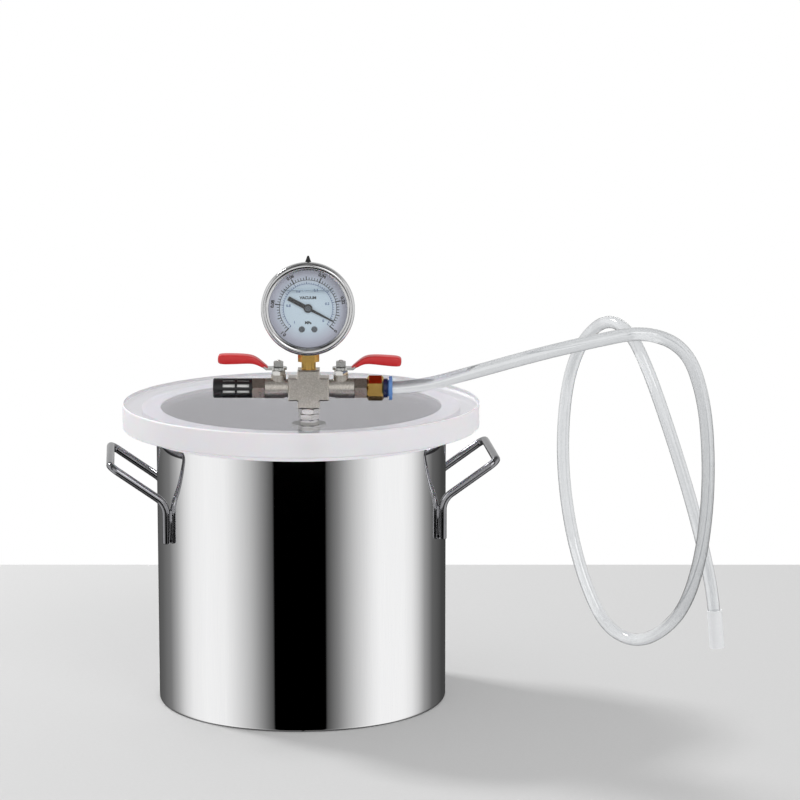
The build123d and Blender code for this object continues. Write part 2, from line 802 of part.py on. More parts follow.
with BuildPart() as dial_screws:
    with BuildSketch(facing(dial_front)):
        with Locations((0, -dial_screw_drop)):
            with GridLocations(dial_screw_spacing, 0, 2, 1):
                Circle(dial_screw_head / 2)
    extrude(amount=dial_thickness)
    with BuildSketch(facing(dial_front)):
        with Locations((0, -dial_screw_drop)):
            with GridLocations(dial_screw_spacing, 0, 2, 1):
                Circle(dial_screw_head / 4)
    extrude(amount=-(dial_thickness + plate_thickness))
    with BuildSketch(facing(dial_front - dial_thickness / 2)):
        with Locations((0, -dial_screw_drop)):
            with GridLocations(dial_screw_spacing, 0, 2, 1):
                Rectangle(dial_screw_head, dial_thickness, rotation=20)
    extrude(amount=dial_thickness / 2, mode=Mode.SUBTRACT)
pieces["dial_screws"] = dial_screws.part

movement_front = dial_front + dial_thickness
movement_back = movement_front + plate_thickness + plate_spacing
block_top = gauge_z - bourdon_radius + bourdon_thickness

plate_width = dial_screw_spacing + plate_margin
with BuildPart() as movement:
    for depth, plate_bottom in (
        (movement_front + plate_thickness, -dial_screw_drop - plate_margin),
        (movement_back + plate_thickness, block_top - gauge_z),
    ):
        with BuildSketch(facing(depth)):
            with Locations((0, (plate_bottom + plate_top) / 2)):
                RectangleRounded(plate_width, plate_top - plate_bottom, 2)
            Circle(arbor_diameter / 2 + running_gap, mode=Mode.SUBTRACT)
            with Locations((0, -dial_screw_drop)):
                with GridLocations(dial_screw_spacing, 0, 2, 1):
                    Circle(dial_screw_head / 4 + thread_gap, mode=Mode.SUBTRACT)
        extrude(amount=plate_thickness)
    with BuildSketch(facing(movement_back)):
        with Locations((-4.6, 4.6), (4.6, 4.6), (0, -11)):
            Circle(1.5)
    extrude(amount=plate_spacing)
pieces["movement"] = movement.part

with BuildPart() as bourdon_tube:
    bourdon_frame = gauge_section.rotated((0, bourdon_start, 0))
    with BuildSketch(bourdon_frame):
        with Locations((bourdon_depth, -bourdon_radius)):
            RectangleRounded(bourdon_width, bourdon_thickness, bourdon_thickness / 2.1)
    revolve(axis=gauge_axis, revolution_arc=-bourdon_sweep)
pieces["bourdon_tube"] = bourdon_tube.part

pointer_back = dial_front - pointer_lift + pointer_thickness
with BuildPart() as pointer:
    with BuildSketch(facing(pointer_back)):
        Circle(pointer_hub / 2)
        with Locations(Rotation(0, 0, pointer_rest_angle)):
            Polygon(
                (0, needle_root / 2),
                (pointer_tip, needle_tip / 2),
                (pointer_tip, -needle_tip / 2),
                (0, -needle_root / 2),
                (0, -tail_width / 2),
                (-pointer_tail, -tail_width / 2),
                (-pointer_tail, tail_width / 2),
                (0, tail_width / 2),
                align=None,
            )
    extrude(amount=pointer_thickness)
    with BuildSketch(facing(pointer_back - pointer_thickness)):
        Circle(pointer_hub / 4)
    extrude(amount=pointer_thickness)
pieces["pointer"] = pointer.part

with BuildPart() as pointer_arbor:
    with BuildSketch(facing(movement_back + plate_thickness)):
        Circle(arbor_diameter / 2)
    extrude(amount=movement_back + plate_thickness - pointer_back)
    with BuildSketch(facing(movement_back - plate_spacing / 3)):
        Circle(arbor_diameter * 1.4)
    extrude(amount=plate_spacing / 3)
pieces["pointer_arbor"] = pointer_arbor.part

with BuildPart() as vent_plug:
    with BuildSketch(level(gauge_z + case_radius - case_wall - 0.5)):
        Circle(vent_hole / 2 - thread_gap)
    extrude(amount=case_wall + 1)
    with BuildSketch(level(gauge_z + case_radius + thread_gap)):
        Circle(vent_flange / 2)
    extrude(amount=1.2)
    with BuildSketch(level(gauge_z + case_radius + thread_gap + 1.2)) as cone_base:
        Circle(vent_hole / 2)
    extrude(amount=vent_height - 1.2, taper=20)
pieces["vent_plug"] = vent_plug.part

# ---------------------------------------------------------------- hose and its end sleeve

# The hose leaves the fitting, rises in a loose loop beside the pot, touches the floor,
# goes round behind itself and ends in a sleeve that stands on the floor.
hose_route = [
    (port_x + hose_start, port_y, flow_z),
    (86, port_y, flow_z),
    (128, -79, 264.5),
    (174, -85, 278.5),
    (216, -90, 289.5),
    (254, -92, 297.5),
    (285, -84, 283.5),
    (300, -64, 243.5),
    (307, -36, 194.5),
    (310, 0, 144.5),
    (309, 42, 94),
    (302, 84, 48),
    (287, 118, 19),
    (268, 146, 3.4),
    (246, 168, 9),
    (230, 184, 38),
    (217, 197, 82),
    (210, 207, 131.5),
    (210, 212, 177.5),
    (215, 214, 215.5),
    (226, 207, 245.5),
    (243, 188, 264.5),
    (260, 163, 259.5),
    (274, 146, 231.5),
    (289, 139, 189.5),
    (304, 137, 143.5),
    (315, 136, 105.5),
    (324, 136, 70),
    (330, 136, 37),
    (333, 136, 3),
]


def cord_radii(route):
    """The largest arc at each corner: 0.45 of its shorter run over tan(turn / 2)."""
    radii = []
    for before, corner, after in zip(route, route[1:], route[2:]):
        arriving = Vector(corner) - Vector(before)
        leaving = Vector(after) - Vector(corner)
        shorter = min(arriving.length, leaving.length)
        radii.append(0.45 * shorter / tan(radians(arriving.get_angle(leaving) / 2)))
    return radii


hose_radii = cord_radii(hose_route)
with BuildPart() as hose:
    with BuildLine() as hose_path:
        FilletPolyline(*hose_route, radius=hose_radii)
    with BuildSketch(Plane(hose_path.line @ 0, z_dir=hose_path.line % 0)):
        Circle(hose_radius)
    sweep(path=hose_path.line)
pieces["hose"] = hose.part

end_point = Vector(hose_route[-1])
end_direction = (end_point - Vector(hose_route[-2])).normalized()
sleeve_start = end_point - end_direction * (sleeve_length - sleeve_overhang)
with BuildPart() as hose_sleeve:
    with BuildSketch(Plane(sleeve_start, z_dir=end_direction)):
        Circle(sleeve_diameter / 2)
        Circle(sleeve_bore / 2, mode=Mode.SUBTRACT)
    extrude(amount=sleeve_length)
pieces["hose_sleeve"] = hose_sleeve.part

# ---------------------------------------------------------------- write the parts

os.makedirs("parts", exist_ok=True)
for name, piece in pieces.items():
    piece.label = name
    export_step(piece, f"parts/{name}.step")

print("hose radii:", [round(r) for r in hose_radii])
hose_length = sum(edge.length for edge in hose_path.line.edges())
section = hose.part.volume / hose_length
print(f"hose length {hose_length:.1f}, lowest {hose_path.line.bounding_box().min.Z:.2f}")
print(f"hose volume / length {section:.3f}, section {3.14159265 * hose_radius**2:.3f}")
print("hose lowest", hose.part.bounding_box().min.Z, "bourdon", bourdon_tube.part.bounding_box())
print("stems at", stem_x, "flow height", flow_z, "gauge height", gauge_z)
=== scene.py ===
"""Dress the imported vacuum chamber: polished steel pot, acrylic lid, gauge manifold, clear hose."""

from math import atan2, cos, hypot, pi, radians, sin, sqrt, tau

import bpy
from mathutils import Matrix, Vector


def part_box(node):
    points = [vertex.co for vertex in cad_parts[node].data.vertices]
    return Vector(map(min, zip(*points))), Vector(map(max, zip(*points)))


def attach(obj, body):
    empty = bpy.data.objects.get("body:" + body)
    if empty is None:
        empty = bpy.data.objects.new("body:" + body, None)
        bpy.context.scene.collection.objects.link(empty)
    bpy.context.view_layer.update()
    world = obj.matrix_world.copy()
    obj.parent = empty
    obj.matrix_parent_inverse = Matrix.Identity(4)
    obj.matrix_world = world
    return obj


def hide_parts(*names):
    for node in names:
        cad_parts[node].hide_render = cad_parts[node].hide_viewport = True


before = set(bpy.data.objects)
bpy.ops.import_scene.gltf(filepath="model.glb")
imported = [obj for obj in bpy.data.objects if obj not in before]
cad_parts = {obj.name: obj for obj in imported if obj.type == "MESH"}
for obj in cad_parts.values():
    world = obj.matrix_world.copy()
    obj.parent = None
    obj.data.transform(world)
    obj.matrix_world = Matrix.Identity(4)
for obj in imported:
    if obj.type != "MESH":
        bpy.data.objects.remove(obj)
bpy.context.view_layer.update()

bl_info = {
    "name": "Vacuum chamber",
    "version": (1, 0, 0),
    "blender": (4, 5, 0),
    "location": "View3D > Sidebar > Chamber",
    "description": "Models and finishes a small vacuum chamber with a gauge manifold and hose",
    "category": "Object",
}

MM = 0.001
# Points closer than this are welded into one
WELD = 0.004 * MM

# Places shared by several pieces, read from the CAD pieces they stand on
POT_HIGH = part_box("pot")[1]
LID_LOW, LID_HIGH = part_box("lid")
CROSS_LOW, CROSS_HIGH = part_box("cross")
BEZEL_LOW, BEZEL_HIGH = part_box("gauge_bezel")
PORT = Vector(((CROSS_LOW[0] + CROSS_HIGH[0]) / 2, (CROSS_LOW[1] + CROSS_HIGH[1]) / 2, 0))
FLOW_Z = (CROSS_LOW[2] + CROSS_HIGH[2]) / 2
GAUGE = Vector((PORT.x, PORT.y, (BEZEL_LOW[2] + BEZEL_HIGH[2]) / 2))

# The dial, in degrees anticlockwise from the right and in millimetres along Y from the port
ZERO_BEARING, FULL_BEARING = -40.0, 226.0
DIAL_FACE = -8.6
PRINT_FACE = DIAL_FACE - 0.05
UP, FACING = (0, 0, 1), (0, -1, 0)


# ------------------------------------------------------------------ small helpers


def linear(hex_colour, alpha=1.0):
    """An sRGB hex colour as the linear RGBA a shader socket takes."""
    channels = [int(hex_colour[i : i + 2], 16) / 255 for i in (1, 3, 5)]
    return [c / 12.92 if c <= 0.04045 else ((c + 0.055) / 1.055) ** 2.4 for c in channels] + [alpha]


def add(tree, kind, settings=None, links=None):
    """Add a shader node. Settings are its attributes or socket values, links are socket: source."""
    made = tree.nodes.new(kind)
    for key, value in (settings or {}).items():
        if isinstance(key, str) and hasattr(made, key):
            setattr(made, key, value)
        else:
            made.inputs[key].default_value = value
    for key, source in (links or {}).items():
        tree.links.new(source, made.inputs[key])
    return made


def clear():
    """Leave edit mode and select nothing, so the next operator touches only its own piece."""
    if bpy.context.object and bpy.context.object.mode != "OBJECT":
        bpy.ops.object.mode_set(mode="OBJECT")
    bpy.ops.object.select_all(action="DESELECT")


def only(obj):
    clear()
    obj.select_set(True)
    bpy.context.view_layer.objects.active = obj


def edit(obj, mode="VERT"):
    only(obj)
    bpy.ops.object.mode_set(mode="EDIT")
    bpy.ops.mesh.select_mode(type=mode)


def settle(obj):
    """Put the object's place into its mesh."""
    only(obj)
    bpy.ops.object.transform_apply(location=True, rotation=True, scale=True)


def bevel(obj, width, segments=2, angle=30):
    """Round or break the edges sharper than an angle, as a deburred or moulded edge is."""
    only(obj)
    rounding = obj.modifiers.new("edges", "BEVEL")
    rounding.width = width
    rounding.segments = segments
    rounding.limit_method = "ANGLE"
    rounding.angle_limit = radians(angle)
    bpy.ops.object.modifier_apply(modifier=rounding.name)


def carve(obj, tool, operation="DIFFERENCE"):
    """Cut one piece out of another, keep only what they share, or join the two into one skin."""
    only(obj)
    boolean = obj.modifiers.new("carve", "BOOLEAN")
    boolean.operation = operation
    boolean.solver = "EXACT"
    boolean.object = tool
    bpy.ops.object.modifier_apply(modifier=boolean.name)
    bpy.data.objects.remove(tool)


def join(pieces):
    """Join pieces into the first of them."""
    clear()
    for piece in pieces:
        piece.select_set(True)
    bpy.context.view_layer.objects.active = pieces[0]
    bpy.ops.object.join()
    return pieces[0]


def finish_piece(obj, name, body, finish, nodes=(), smooth=30):
    """Name a piece, settle it, shade and finish it, and let it stand for its CAD nodes."""
    settle(obj)
    obj.name = name
    obj.data.name = name
    bpy.ops.object.shade_smooth_by_angle(angle=radians(smooth))
    if finish is not None:
        obj.data.materials.clear()
        obj.data.materials.append(finish)
    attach(obj, body)
    if nodes:
        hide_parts(*nodes)
    return obj


def let_light_through(obj):
    """Clear pieces neither shade what is under them nor stop light bouncing off it."""
    obj.visible_shadow = False
    obj.visible_diffuse = False


def draw_line(points):
    """A line of edges through places, left in edit mode and all selected."""
    clear()
    bpy.ops.mesh.primitive_plane_add(size=MM, location=(0, 0, 0))
    line = bpy.context.object
    edit(line)
    bpy.ops.mesh.select_all(action="SELECT")
    bpy.ops.mesh.merge(type="CENTER")
    bpy.ops.transform.translate(value=points[0])
    for before, after in zip(points, points[1:]):
        bpy.ops.mesh.extrude_region_move(TRANSFORM_OT_translate={"value": after - before})
    bpy.ops.mesh.select_all(action="SELECT")
    return line


def close_skin():
    """Weld the piece in edit mode, turn its skin outwards and leave edit mode."""
    bpy.ops.mesh.select_all(action="SELECT")
    bpy.ops.mesh.remove_doubles(threshold=WELD)
    bpy.ops.mesh.normals_make_consistent(inside=False)
    bpy.ops.object.mode_set(mode="OBJECT")


def lathe(profile, centre=(0, 0, 0), axis=(0, 0, 1), out=(1, 0, 0), steps=128, closed=True):
    """Turn a profile of (radius, height) points in metres round an axis through centre."""
    centre, axis, out = Vector(centre), Vector(axis), Vector(out)
    points = [centre + out * r + axis * h for r, h in profile]
    if closed:
        points.append(points[0])
    turned = draw_line(points)
    bpy.ops.mesh.spin(steps=steps, angle=tau, center=centre, axis=axis)
    close_skin()
    return turned


def rounded(points, radius, steps=5):
    """A lathe profile with its inner points rounded, first and last points left sharp."""
    result = [points[0]]
    for before, corner, after in zip(points, points[1:], points[2:]):
        a, b, c = Vector(before), Vector(corner), Vector(after)
        reach = min(radius, (a - b).length / 2.01, (c - b).length / 2.01)
        start, end = b + (a - b).normalized() * reach, b + (c - b).normalized() * reach
        for step in range(steps + 1):
            t = step / steps
            result.append(tuple(start * (1 - t) ** 2 + b * 2 * t * (1 - t) + end * t**2))
    result.append(points[-1])
    return result


def dial_place(radius, bearing, depth):
    """A place in front of the dial: radius and depth in millimetres, bearing in degrees."""
    return Vector((
        GAUGE.x + radius * MM * cos(radians(bearing)),
        PORT.y + depth * MM,
        GAUGE.z + radius * MM * sin(radians(bearing)),
    ))


# ------------------------------------------------------------------ finishes


def surface(
    name, colour, second, rough, grain,
    relief=0.0, stretch=(1, 1, 1), contrast=1.0, **sockets,
):
    """A finish whose colour and roughness wander between two values over grain millimetres.

    relief is the height of its bumps in millimetres, and stretch draws the grain out along an
    axis, as brushing or turning does.
    """
    material = bpy.data.materials.new(name)
    material.use_nodes = True
    tree = material.node_tree
    shader = tree.nodes["Principled BSDF"]
    for socket, value in sockets.items():
        shader.inputs[socket.replace("_", " ")].default_value = value
    place = add(tree, "ShaderNodeTexCoord")
    drawn = add(tree, "ShaderNodeMapping", {"Scale": stretch}, {"Vector": place.outputs["Object"]})
    noise = add(
        tree, "ShaderNodeTexNoise", {"Scale": 1 / (grain * MM), "Detail": 4.0, "Roughness": 0.6},
        {"Vector": drawn.outputs["Vector"]},
    )
    spread = add(
        tree, "ShaderNodeMapRange",
        {"From Min": 0.5 - 0.25 / contrast, "From Max": 0.5 + 0.25 / contrast},
        {"Value": noise.outputs["Fac"]},
    )
    tint = add(
        tree, "ShaderNodeMix", {"data_type": "RGBA", 6: linear(colour), 7: linear(second)},
        {0: spread.outputs["Result"]},
    )
    polish = add(
        tree, "ShaderNodeMapRange", {"To Min": rough[0], "To Max": rough[1]},
        {"Value": spread.outputs["Result"]},
    )
    tree.links.new(tint.outputs[2], shader.inputs["Base Color"])
    tree.links.new(polish.outputs["Result"], shader.inputs["Roughness"])
    if relief:
        height = add(
            tree, "ShaderNodeBump", {"Strength": 1.0, "Distance": relief * MM},
            {"Height": noise.outputs["Fac"]},
        )
        tree.links.new(height.outputs["Normal"], shader.inputs["Normal"])
    return material


FINISH = {}


def make_finishes():
    """Every finish on the chamber, each named for its material and how it was made."""
    # Polished stainless sheet: a mirror with the faint up-and-down drag of the polishing belt. Its colour
    # is raised to near white, above the steel's own, to paint brighter highlights.
    FINISH["pot"] = surface(
        "polished_stainless_painted_highlight", "#EEEEEF", "#F2F2F2", (0.02, 0.035), 0.6,
        stretch=(1, 1, 0.02), Metallic=1.0,
    )
    # The pot's inside keeps the sheet's satin mill finish, in a colour darkened to a lavender grey that
    # paints the shade under the lid.
    FINISH["mill_steel"] = surface(
        "mill_finish_and_painted_shade", "#807D88", "#8A8793", (0.42, 0.55), 0.8, Metallic=0.5,
    )
    # Bent stainless wire, electropolished: a slightly uneven mirror, its colour darkened far below the
    # pot's to paint the dark reflections on the handles.
    FINISH["wire"] = surface(
        "wire_painted_dark_reflection", "#88888B", "#98989B", (0.09, 0.13), 6.0, Metallic=1.0,
    )
    # Moulded white silicone: satin, a little light passes into it.
    FINISH["silicone"] = surface(
        "moulded_silicone", "#F6F3FB", "#FBF9FF", (0.42, 0.55), 1.8, relief=0.015,
        Subsurface_Weight=0.25, Subsurface_Scale=0.004,
    )
    # Cast acrylic, polished faces: clear, with a faint cool tint through its thickness.
    FINISH["acrylic"] = surface(
        "cast_acrylic", "#E3E2E8", "#E6E5EB", (0.0, 0.015), 40.0,
        Transmission_Weight=1.0, IOR=1.49,
    )
    # The acrylic's edge as the saw and router leave it: fine frost that glows white.
    FINISH["acrylic_edge"] = surface(
        "routed_acrylic_edge", "#F4F2F8", "#FCFBFF", (0.45, 0.62), 0.5, relief=0.02,
        stretch=(1, 1, 8), Transmission_Weight=0.2, IOR=1.49, Subsurface_Weight=0.3,
        Subsurface_Scale=0.006,
    )
    # Nickel-plated brass, barrel finished: warm satin metal with a cast, pebbled skin.
    FINISH["satin_nickel"] = surface(
        "barrelled_nickel_plate", "#B3ADA4", "#D3CEC7", (0.3, 0.42), 0.9, relief=0.02, contrast=1.4,
        Metallic=1.0,
    )
    # The same plate over machined hex bar, brighter and smoother.
    FINISH["bright_nickel"] = surface(
        "turned_nickel_plate", "#DAD8D4", "#E8E6E3", (0.06, 0.12), 0.6, Metallic=1.0,
    )
    # Nickel plate in a duller, darker and browner grey.
    FINISH["dull_nickel"] = surface(
        "dulled_nickel_plate", "#8C8077", "#A59B91", (0.22, 0.36), 0.5, relief=0.008, Metallic=1.0,
    )
    # The pointer's hub and the dial's screws: turned steel, darkened.
    FINISH["hub"] = surface("turned_hub", "#4E5258", "#62676E", (0.35, 0.5), 0.5, Metallic=0.6)
    # The glycerine that fills the gauge, where its surface is seen.
    FINISH["liquid"] = surface(
        "glycerine", "#B9CFE0", "#C6D8E6", (0.02, 0.06), 5.0, Transmission_Weight=0.7, IOR=1.3,
    )
    # Stamped and turned steel under bright zinc plate.
    FINISH["zinc"] = surface(
        "bright_zinc_plate", "#C2C2BE", "#D5D5D2", (0.14, 0.3), 0.8, relief=0.006, Metallic=1.0,
    )
    # Bare machined brass, handled: yellow metal with duller patches.
    FINISH["brass"] = surface(
        "machined_brass", "#BC9650", "#CFAB64", (0.16, 0.26), 5.0, Metallic=1.0,
    )
    # Drawn bronze tube, lightly tarnished.
    FINISH["bronze"] = surface(
        "drawn_bronze", "#A9783F", "#C08C4D", (0.25, 0.4), 1.5, relief=0.004, Metallic=1.0,
    )
    # Dipped vinyl: thick, glossy red with a slow waviness.
    FINISH["red_vinyl"] = surface(
        "dipped_vinyl", "#CC1B20", "#D32529", (0.34, 0.42), 9.0, relief=0.01, Coat_Weight=0.2,
        Coat_Roughness=0.12,
    )
    # Turned PTFE: waxy white.
    FINISH["ptfe"] = surface("turned_ptfe", "#ECECEA", "#F4F4F2", (0.4, 0.55), 1.0, relief=0.005)
    # Moulded nylon: near-black with a fine spark-eroded grain.
    FINISH["black_plastic"] = surface(
        "moulded_nylon", "#101011", "#1B1B1D", (0.28, 0.42), 0.4, relief=0.012,
    )
    # Sintered polyethylene filter: white grains fused together.
    FINISH["filter"] = surface(
        "sintered_filter", "#F3F3F0", "#FFFFFF", (0.75, 0.9), 0.45, relief=0.03,
    )
    # Moulded dark blue plastic, slightly glossy.
    FINISH["navy_plastic"] = surface(
        "moulded_navy_plastic", "#121A3E", "#1A2450", (0.2, 0.32), 1.0, relief=0.006,
    )
    # Moulded acetal: light blue, a little light passes into it.
    FINISH["blue_plastic"] = surface(
        "moulded_acetal", "#4E7FC4", "#6C97D2", (0.3, 0.4), 1.0, relief=0.006,
        Subsurface_Weight=0.1, Subsurface_Scale=0.002,
    )
    # Pressed and buffed stainless, as on an instrument's ring.
    FINISH["gauge_steel"] = surface(
        "buffed_stainless_ring", "#C8C8C9", "#D6D6D6", (0.08, 0.18), 0.7, relief=0.002,
        Metallic=1.0,
    )
    # Float glass, clean.
    FINISH["glass"] = surface(
        "float_glass", "#F3F7F8", "#F7FAFB", (0.0, 0.01), 30.0, Transmission_Weight=1.0, IOR=1.45,
    )
    # Moulded rubber: matt black.
    FINISH["black_rubber"] = surface(
        "moulded_rubber", "#141414", "#202020", (0.55, 0.7), 0.6, relief=0.02,
    )
    # Printed aluminium dial: satin enamel, a very pale cool blue. Painted shade greys and darkens it from
    # 16 to 26 mm out, towards the rim under the bezel.
    dial = FINISH["dial"] = surface("dial_enamel_and_painted_shade", "#D3E0EE", "#D8E4F0", (0.4, 0.5), 0.5, relief=0.003)
    tree = dial.node_tree
    place = add(tree, "ShaderNodeTexCoord")
    # Painted shade: the dial blends to a darker lavender grey towards its rim.
    middle = add(
        tree, "ShaderNodeVectorMath", {"operation": "DISTANCE", 1: dial_place(0, 0, DIAL_FACE)},
        {0: place.outputs["Object"]},
    )
    rim = add(
        tree, "ShaderNodeMapRange", {"From Min": 16 * MM, "From Max": 26 * MM},
        {"Value": middle.outputs["Value"]},
    )
    tint = add(
        tree, "ShaderNodeMix", {"data_type": "RGBA", 6: linear("#D3E3F0"), 7: linear("#C9C9DA")},
        {0: rim.outputs["Result"]},
    )
    tree.links.new(tint.outputs[2], tree.nodes["Principled BSDF"].inputs["Base Color"])
    # Screen-printed black ink, matt.
    FINISH["ink"] = surface("dial_ink", "#06070A", "#0B0C10", (0.5, 0.6), 0.5, Specular_IOR_Level=0.2)
    # The same ink in blue, for the fine scale.
    FINISH["blue_ink"] = surface("blue_dial_ink", "#1F4C8C", "#2A5697", (0.45, 0.55), 0.5)
    # Matt black lacquer over the aluminium pointer.
    FINISH["pointer"] = surface(
        "pointer_lacquer", "#040405", "#060607", (0.5, 0.6), 0.8, Specular_IOR_Level=0.2,
    )
    # Polyurethane tube: clear but milky, glossy outside.
    FINISH["hose"] = surface(
        "clear_polyurethane", "#DFE1E3", "#E6E8EA", (0.05, 0.1), 12.0, relief=0.01,
        Transmission_Weight=0.8, IOR=1.5, Coat_Weight=1.0, Coat_IOR=1.6, Coat_Roughness=0.03,
    )
    # Soft plastic sleeve, frosted by its mould.
    FINISH["sleeve"] = surface(
        "frosted_soft_plastic", "#F1F2F4", "#F8F9FA", (0.35, 0.45), 2.0,
        Transmission_Weight=0.2, IOR=1.2, Specular_IOR_Level=0.3,
    )


# Clear CAD pieces that let the lamps through
SEE_THROUGH = ("hose_sleeve",)

CAD_FINISH = {
    "silencer_housing": "black_plastic", "silencer_filter": "filter", "fitting_body": "brass",
    "fitting_collar": "navy_plastic", "fitting_claw": "zinc", "release_collet": "blue_plastic",
    "gauge_socket": "brass", "gauge_case": "gauge_steel", "gauge_bezel": "gauge_steel",
    "gauge_window": "glass", "window_seal": "black_rubber", "dial": "dial",
    "dial_screws": "bright_nickel", "movement": "brass", "bourdon_tube": "bronze",
    "pointer": "pointer", "pointer_arbor": "zinc", "vent_plug": "black_rubber",
    "lid_seal_washer": "black_rubber", "lid_steel_washer": "zinc", "clamp_nut": "zinc",
    "hex_nipple": "bright_nickel", "jam_nut": "bright_nickel", "cross": "satin_nickel",
    "pot": "pot", "left_handle": "wire", "right_handle": "wire", "gasket": "silicone",
    "lid": "acrylic", "hose_sleeve": "sleeve",
}
for side in ("left", "right"):
    CAD_FINISH.update({
        f"{side}_valve_body": "satin_nickel", f"{side}_valve_cap": "bright_nickel",
        f"{side}_ball_seats": "ptfe", f"{side}_ball": "bright_nickel", f"{side}_stem": "bright_nickel",
        f"{side}_packing": "ptfe", f"{side}_gland_nut": "bright_nickel", f"{side}_lever": "zinc",
        f"{side}_grip": "red_vinyl", f"{side}_lever_nut": "zinc",
    })


# ------------------------------------------------------------------ settings


class ChamberSettings(bpy.types.PropertyGroup):
    """The size a user would change."""

    hose_diameter: bpy.props.FloatProperty(
        name="Hose diameter", description="Outer diameter of the hose", default=10 * MM,
        min=4 * MM, max=16 * MM, unit="LENGTH",
    )


# ------------------------------------------------------------------ stage


def ramp(tree, factor, stops):
    """A grey ramp through (position, value) stops."""
    made = add(tree, "ShaderNodeValToRGB", {}, {"Fac": factor})
    steps = made.color_ramp.elements
    for step, (position, value) in zip(steps, (stops[0], stops[-1])):
        step.position, step.color = position, (value, value, value, 1)
    for position, value in stops[1:-1]:
        steps.new(position).color = (value, value, value, 1)
    return made


def glow_by_bearing(tree, coordinate, stops):
    """A grey ramp through (degrees to the right of the front, value) stops, and the direction's parts."""
    place = add(tree, "ShaderNodeTexCoord")
    parts = add(tree, "ShaderNodeSeparateXYZ", {}, {"Vector": place.outputs[coordinate]})
    front = add(tree, "ShaderNodeMath", {"operation": "MULTIPLY", 1: -1.0}, {0: parts.outputs["Y"]})
    bearing = add(
        tree, "ShaderNodeMath", {"operation": "ARCTAN2"}, {0: parts.outputs["X"], 1: front.outputs[0]}
    )
    share = add(
        tree, "ShaderNodeMapRange", {"From Min": -pi, "From Max": pi}, {"Value": bearing.outputs[0]}
    )
    shares = [((angle + 180) / 360, value) for angle, value in stops]
    return ramp(tree, share.outputs["Result"], shares), parts


def softbox_finish():
    """The glow of two tall softboxes with a black gap between them, fading to dark behind."""
    material = bpy.data.materials.new("softbox_fabric")
    material.use_nodes = True
    tree = material.node_tree
    tree.nodes.clear()
    glow, _ = glow_by_bearing(tree, "Object", (
        (-180, 0.05), (-145, 0.12), (-127, 0.20), (-115, 0.42), (-104, 0.73), (-94, 0.93),
        (-78, 1.0), (-61, 0.96), (-53, 0.82), (-46, 0.68), (-39, 0.53), (-32, 0.34), (-25, 0.17),
        (-20.2, 0.07), (-19.8, 0.0), (20.0, 0.0), (20.4, 0.06), (30, 0.24), (37, 0.43), (44, 0.61),
        (51, 0.76), (58, 0.91), (65, 1.0), (88, 1.0), (98, 0.88), (107, 0.62), (115, 0.34),
        (128, 0.13), (150, 0.06), (180, 0.05),
    ))
    glare = add(tree, "ShaderNodeEmission", {"Strength": 1.0}, {"Color": glow.outputs["Color"]})
    add(tree, "ShaderNodeOutputMaterial", {}, {"Surface": glare.outputs[0]})
    return material


def studio_world():
    """White where the camera looks, and a softbox room with dark gaps in what metal mirrors."""
    world = bpy.data.worlds.new("studio")
    bpy.context.scene.world = world
    world.use_nodes = True
    tree = world.node_tree
    tree.nodes.clear()
    walls, parts = glow_by_bearing(tree, "Generated", (
        (-180, 0.6), (-125, 0.6), (-108, 1.0), (-78, 1.0), (-66, 0.25), (-52, 0.08), (-43, 0.9),
        (0.2, 1.0), (0.5, 0.05), (3.2, 0.05), (3.5, 1.0), (36, 0.95), (46, 0.08), (58, 0.15), (70, 1.0),
        (105, 1.0), (125, 0.6), (180, 0.6),
    ))
    up_room = add(
        tree, "ShaderNodeMapRange", {"From Min": -1.0, "From Max": 1.0}, {"Value": parts.outputs["Z"]}
    )
    height = ramp(
        tree, up_room.outputs["Result"],
        [(0.0, 0.15), (0.22, 0.22), (0.36, 0.8), (0.42, 1.0), (0.72, 1.0), (0.88, 0.3), (1.0, 0.25)],
    )
    room = add(
        tree, "ShaderNodeBackground", {},
        {"Color": walls.outputs["Color"], "Strength": height.outputs["Color"]},
    )
    fill = add(tree, "ShaderNodeBackground", {"Color": (1, 1, 1, 1), "Strength": 0.72})
    white = add(tree, "ShaderNodeBackground", {"Color": (1, 1, 1, 1), "Strength": 1.0})
    ray = add(tree, "ShaderNodeLightPath")
    clear_ray = add(
        tree, "ShaderNodeMath", {"operation": "MAXIMUM"},
        {0: ray.outputs["Is Camera Ray"], 1: ray.outputs["Is Transmission Ray"]},
    )
    lit = add(
        tree, "ShaderNodeMixShader", {},
        {0: ray.outputs["Is Glossy Ray"], 1: fill.outputs[0], 2: room.outputs[0]},
    )
    seen = add(
        tree, "ShaderNodeMixShader", {}, {0: clear_ray.outputs[0], 1: lit.outputs[0], 2: white.outputs[0]}
    )
    add(tree, "ShaderNodeOutputWorld", {}, {"Surface": seen.outputs[0]})


def floor_finish():
    """Matt pale laminate. Mirrored rays pass it, so polished metal shows the room alone."""
    material = surface("matt_laminate", "#CECECE", "#D2D2D2", (0.6, 0.75), 3.0, relief=0.01)
    tree = material.node_tree
    shader = tree.nodes["Principled BSDF"]
    shader.inputs["Specular IOR Level"].default_value = 0.15
    ray = add(tree, "ShaderNodeLightPath")
    passed = add(tree, "ShaderNodeBsdfTransparent")
    mixed = add(
        tree, "ShaderNodeMixShader", {},
        {0: ray.outputs["Is Glossy Ray"], 1: shader.outputs[0], 2: passed.outputs[0]},
    )
    tree.links.new(mixed.outputs[0], tree.nodes["Material Output"].inputs["Surface"])
    return material


# The bench top reaches from behind the camera to just past the hose, in metres
BENCH_WIDTH, BENCH_DEPTH, BENCH_MIDDLE = 9.0, 3.445, -1.2775
# The softboxes' distance from the pot, and their lowest and highest edge, in metres
SOFTBOX_REACH, SOFTBOX_LOW, SOFTBOX_HIGH = 3.0, -3.5, -0.31
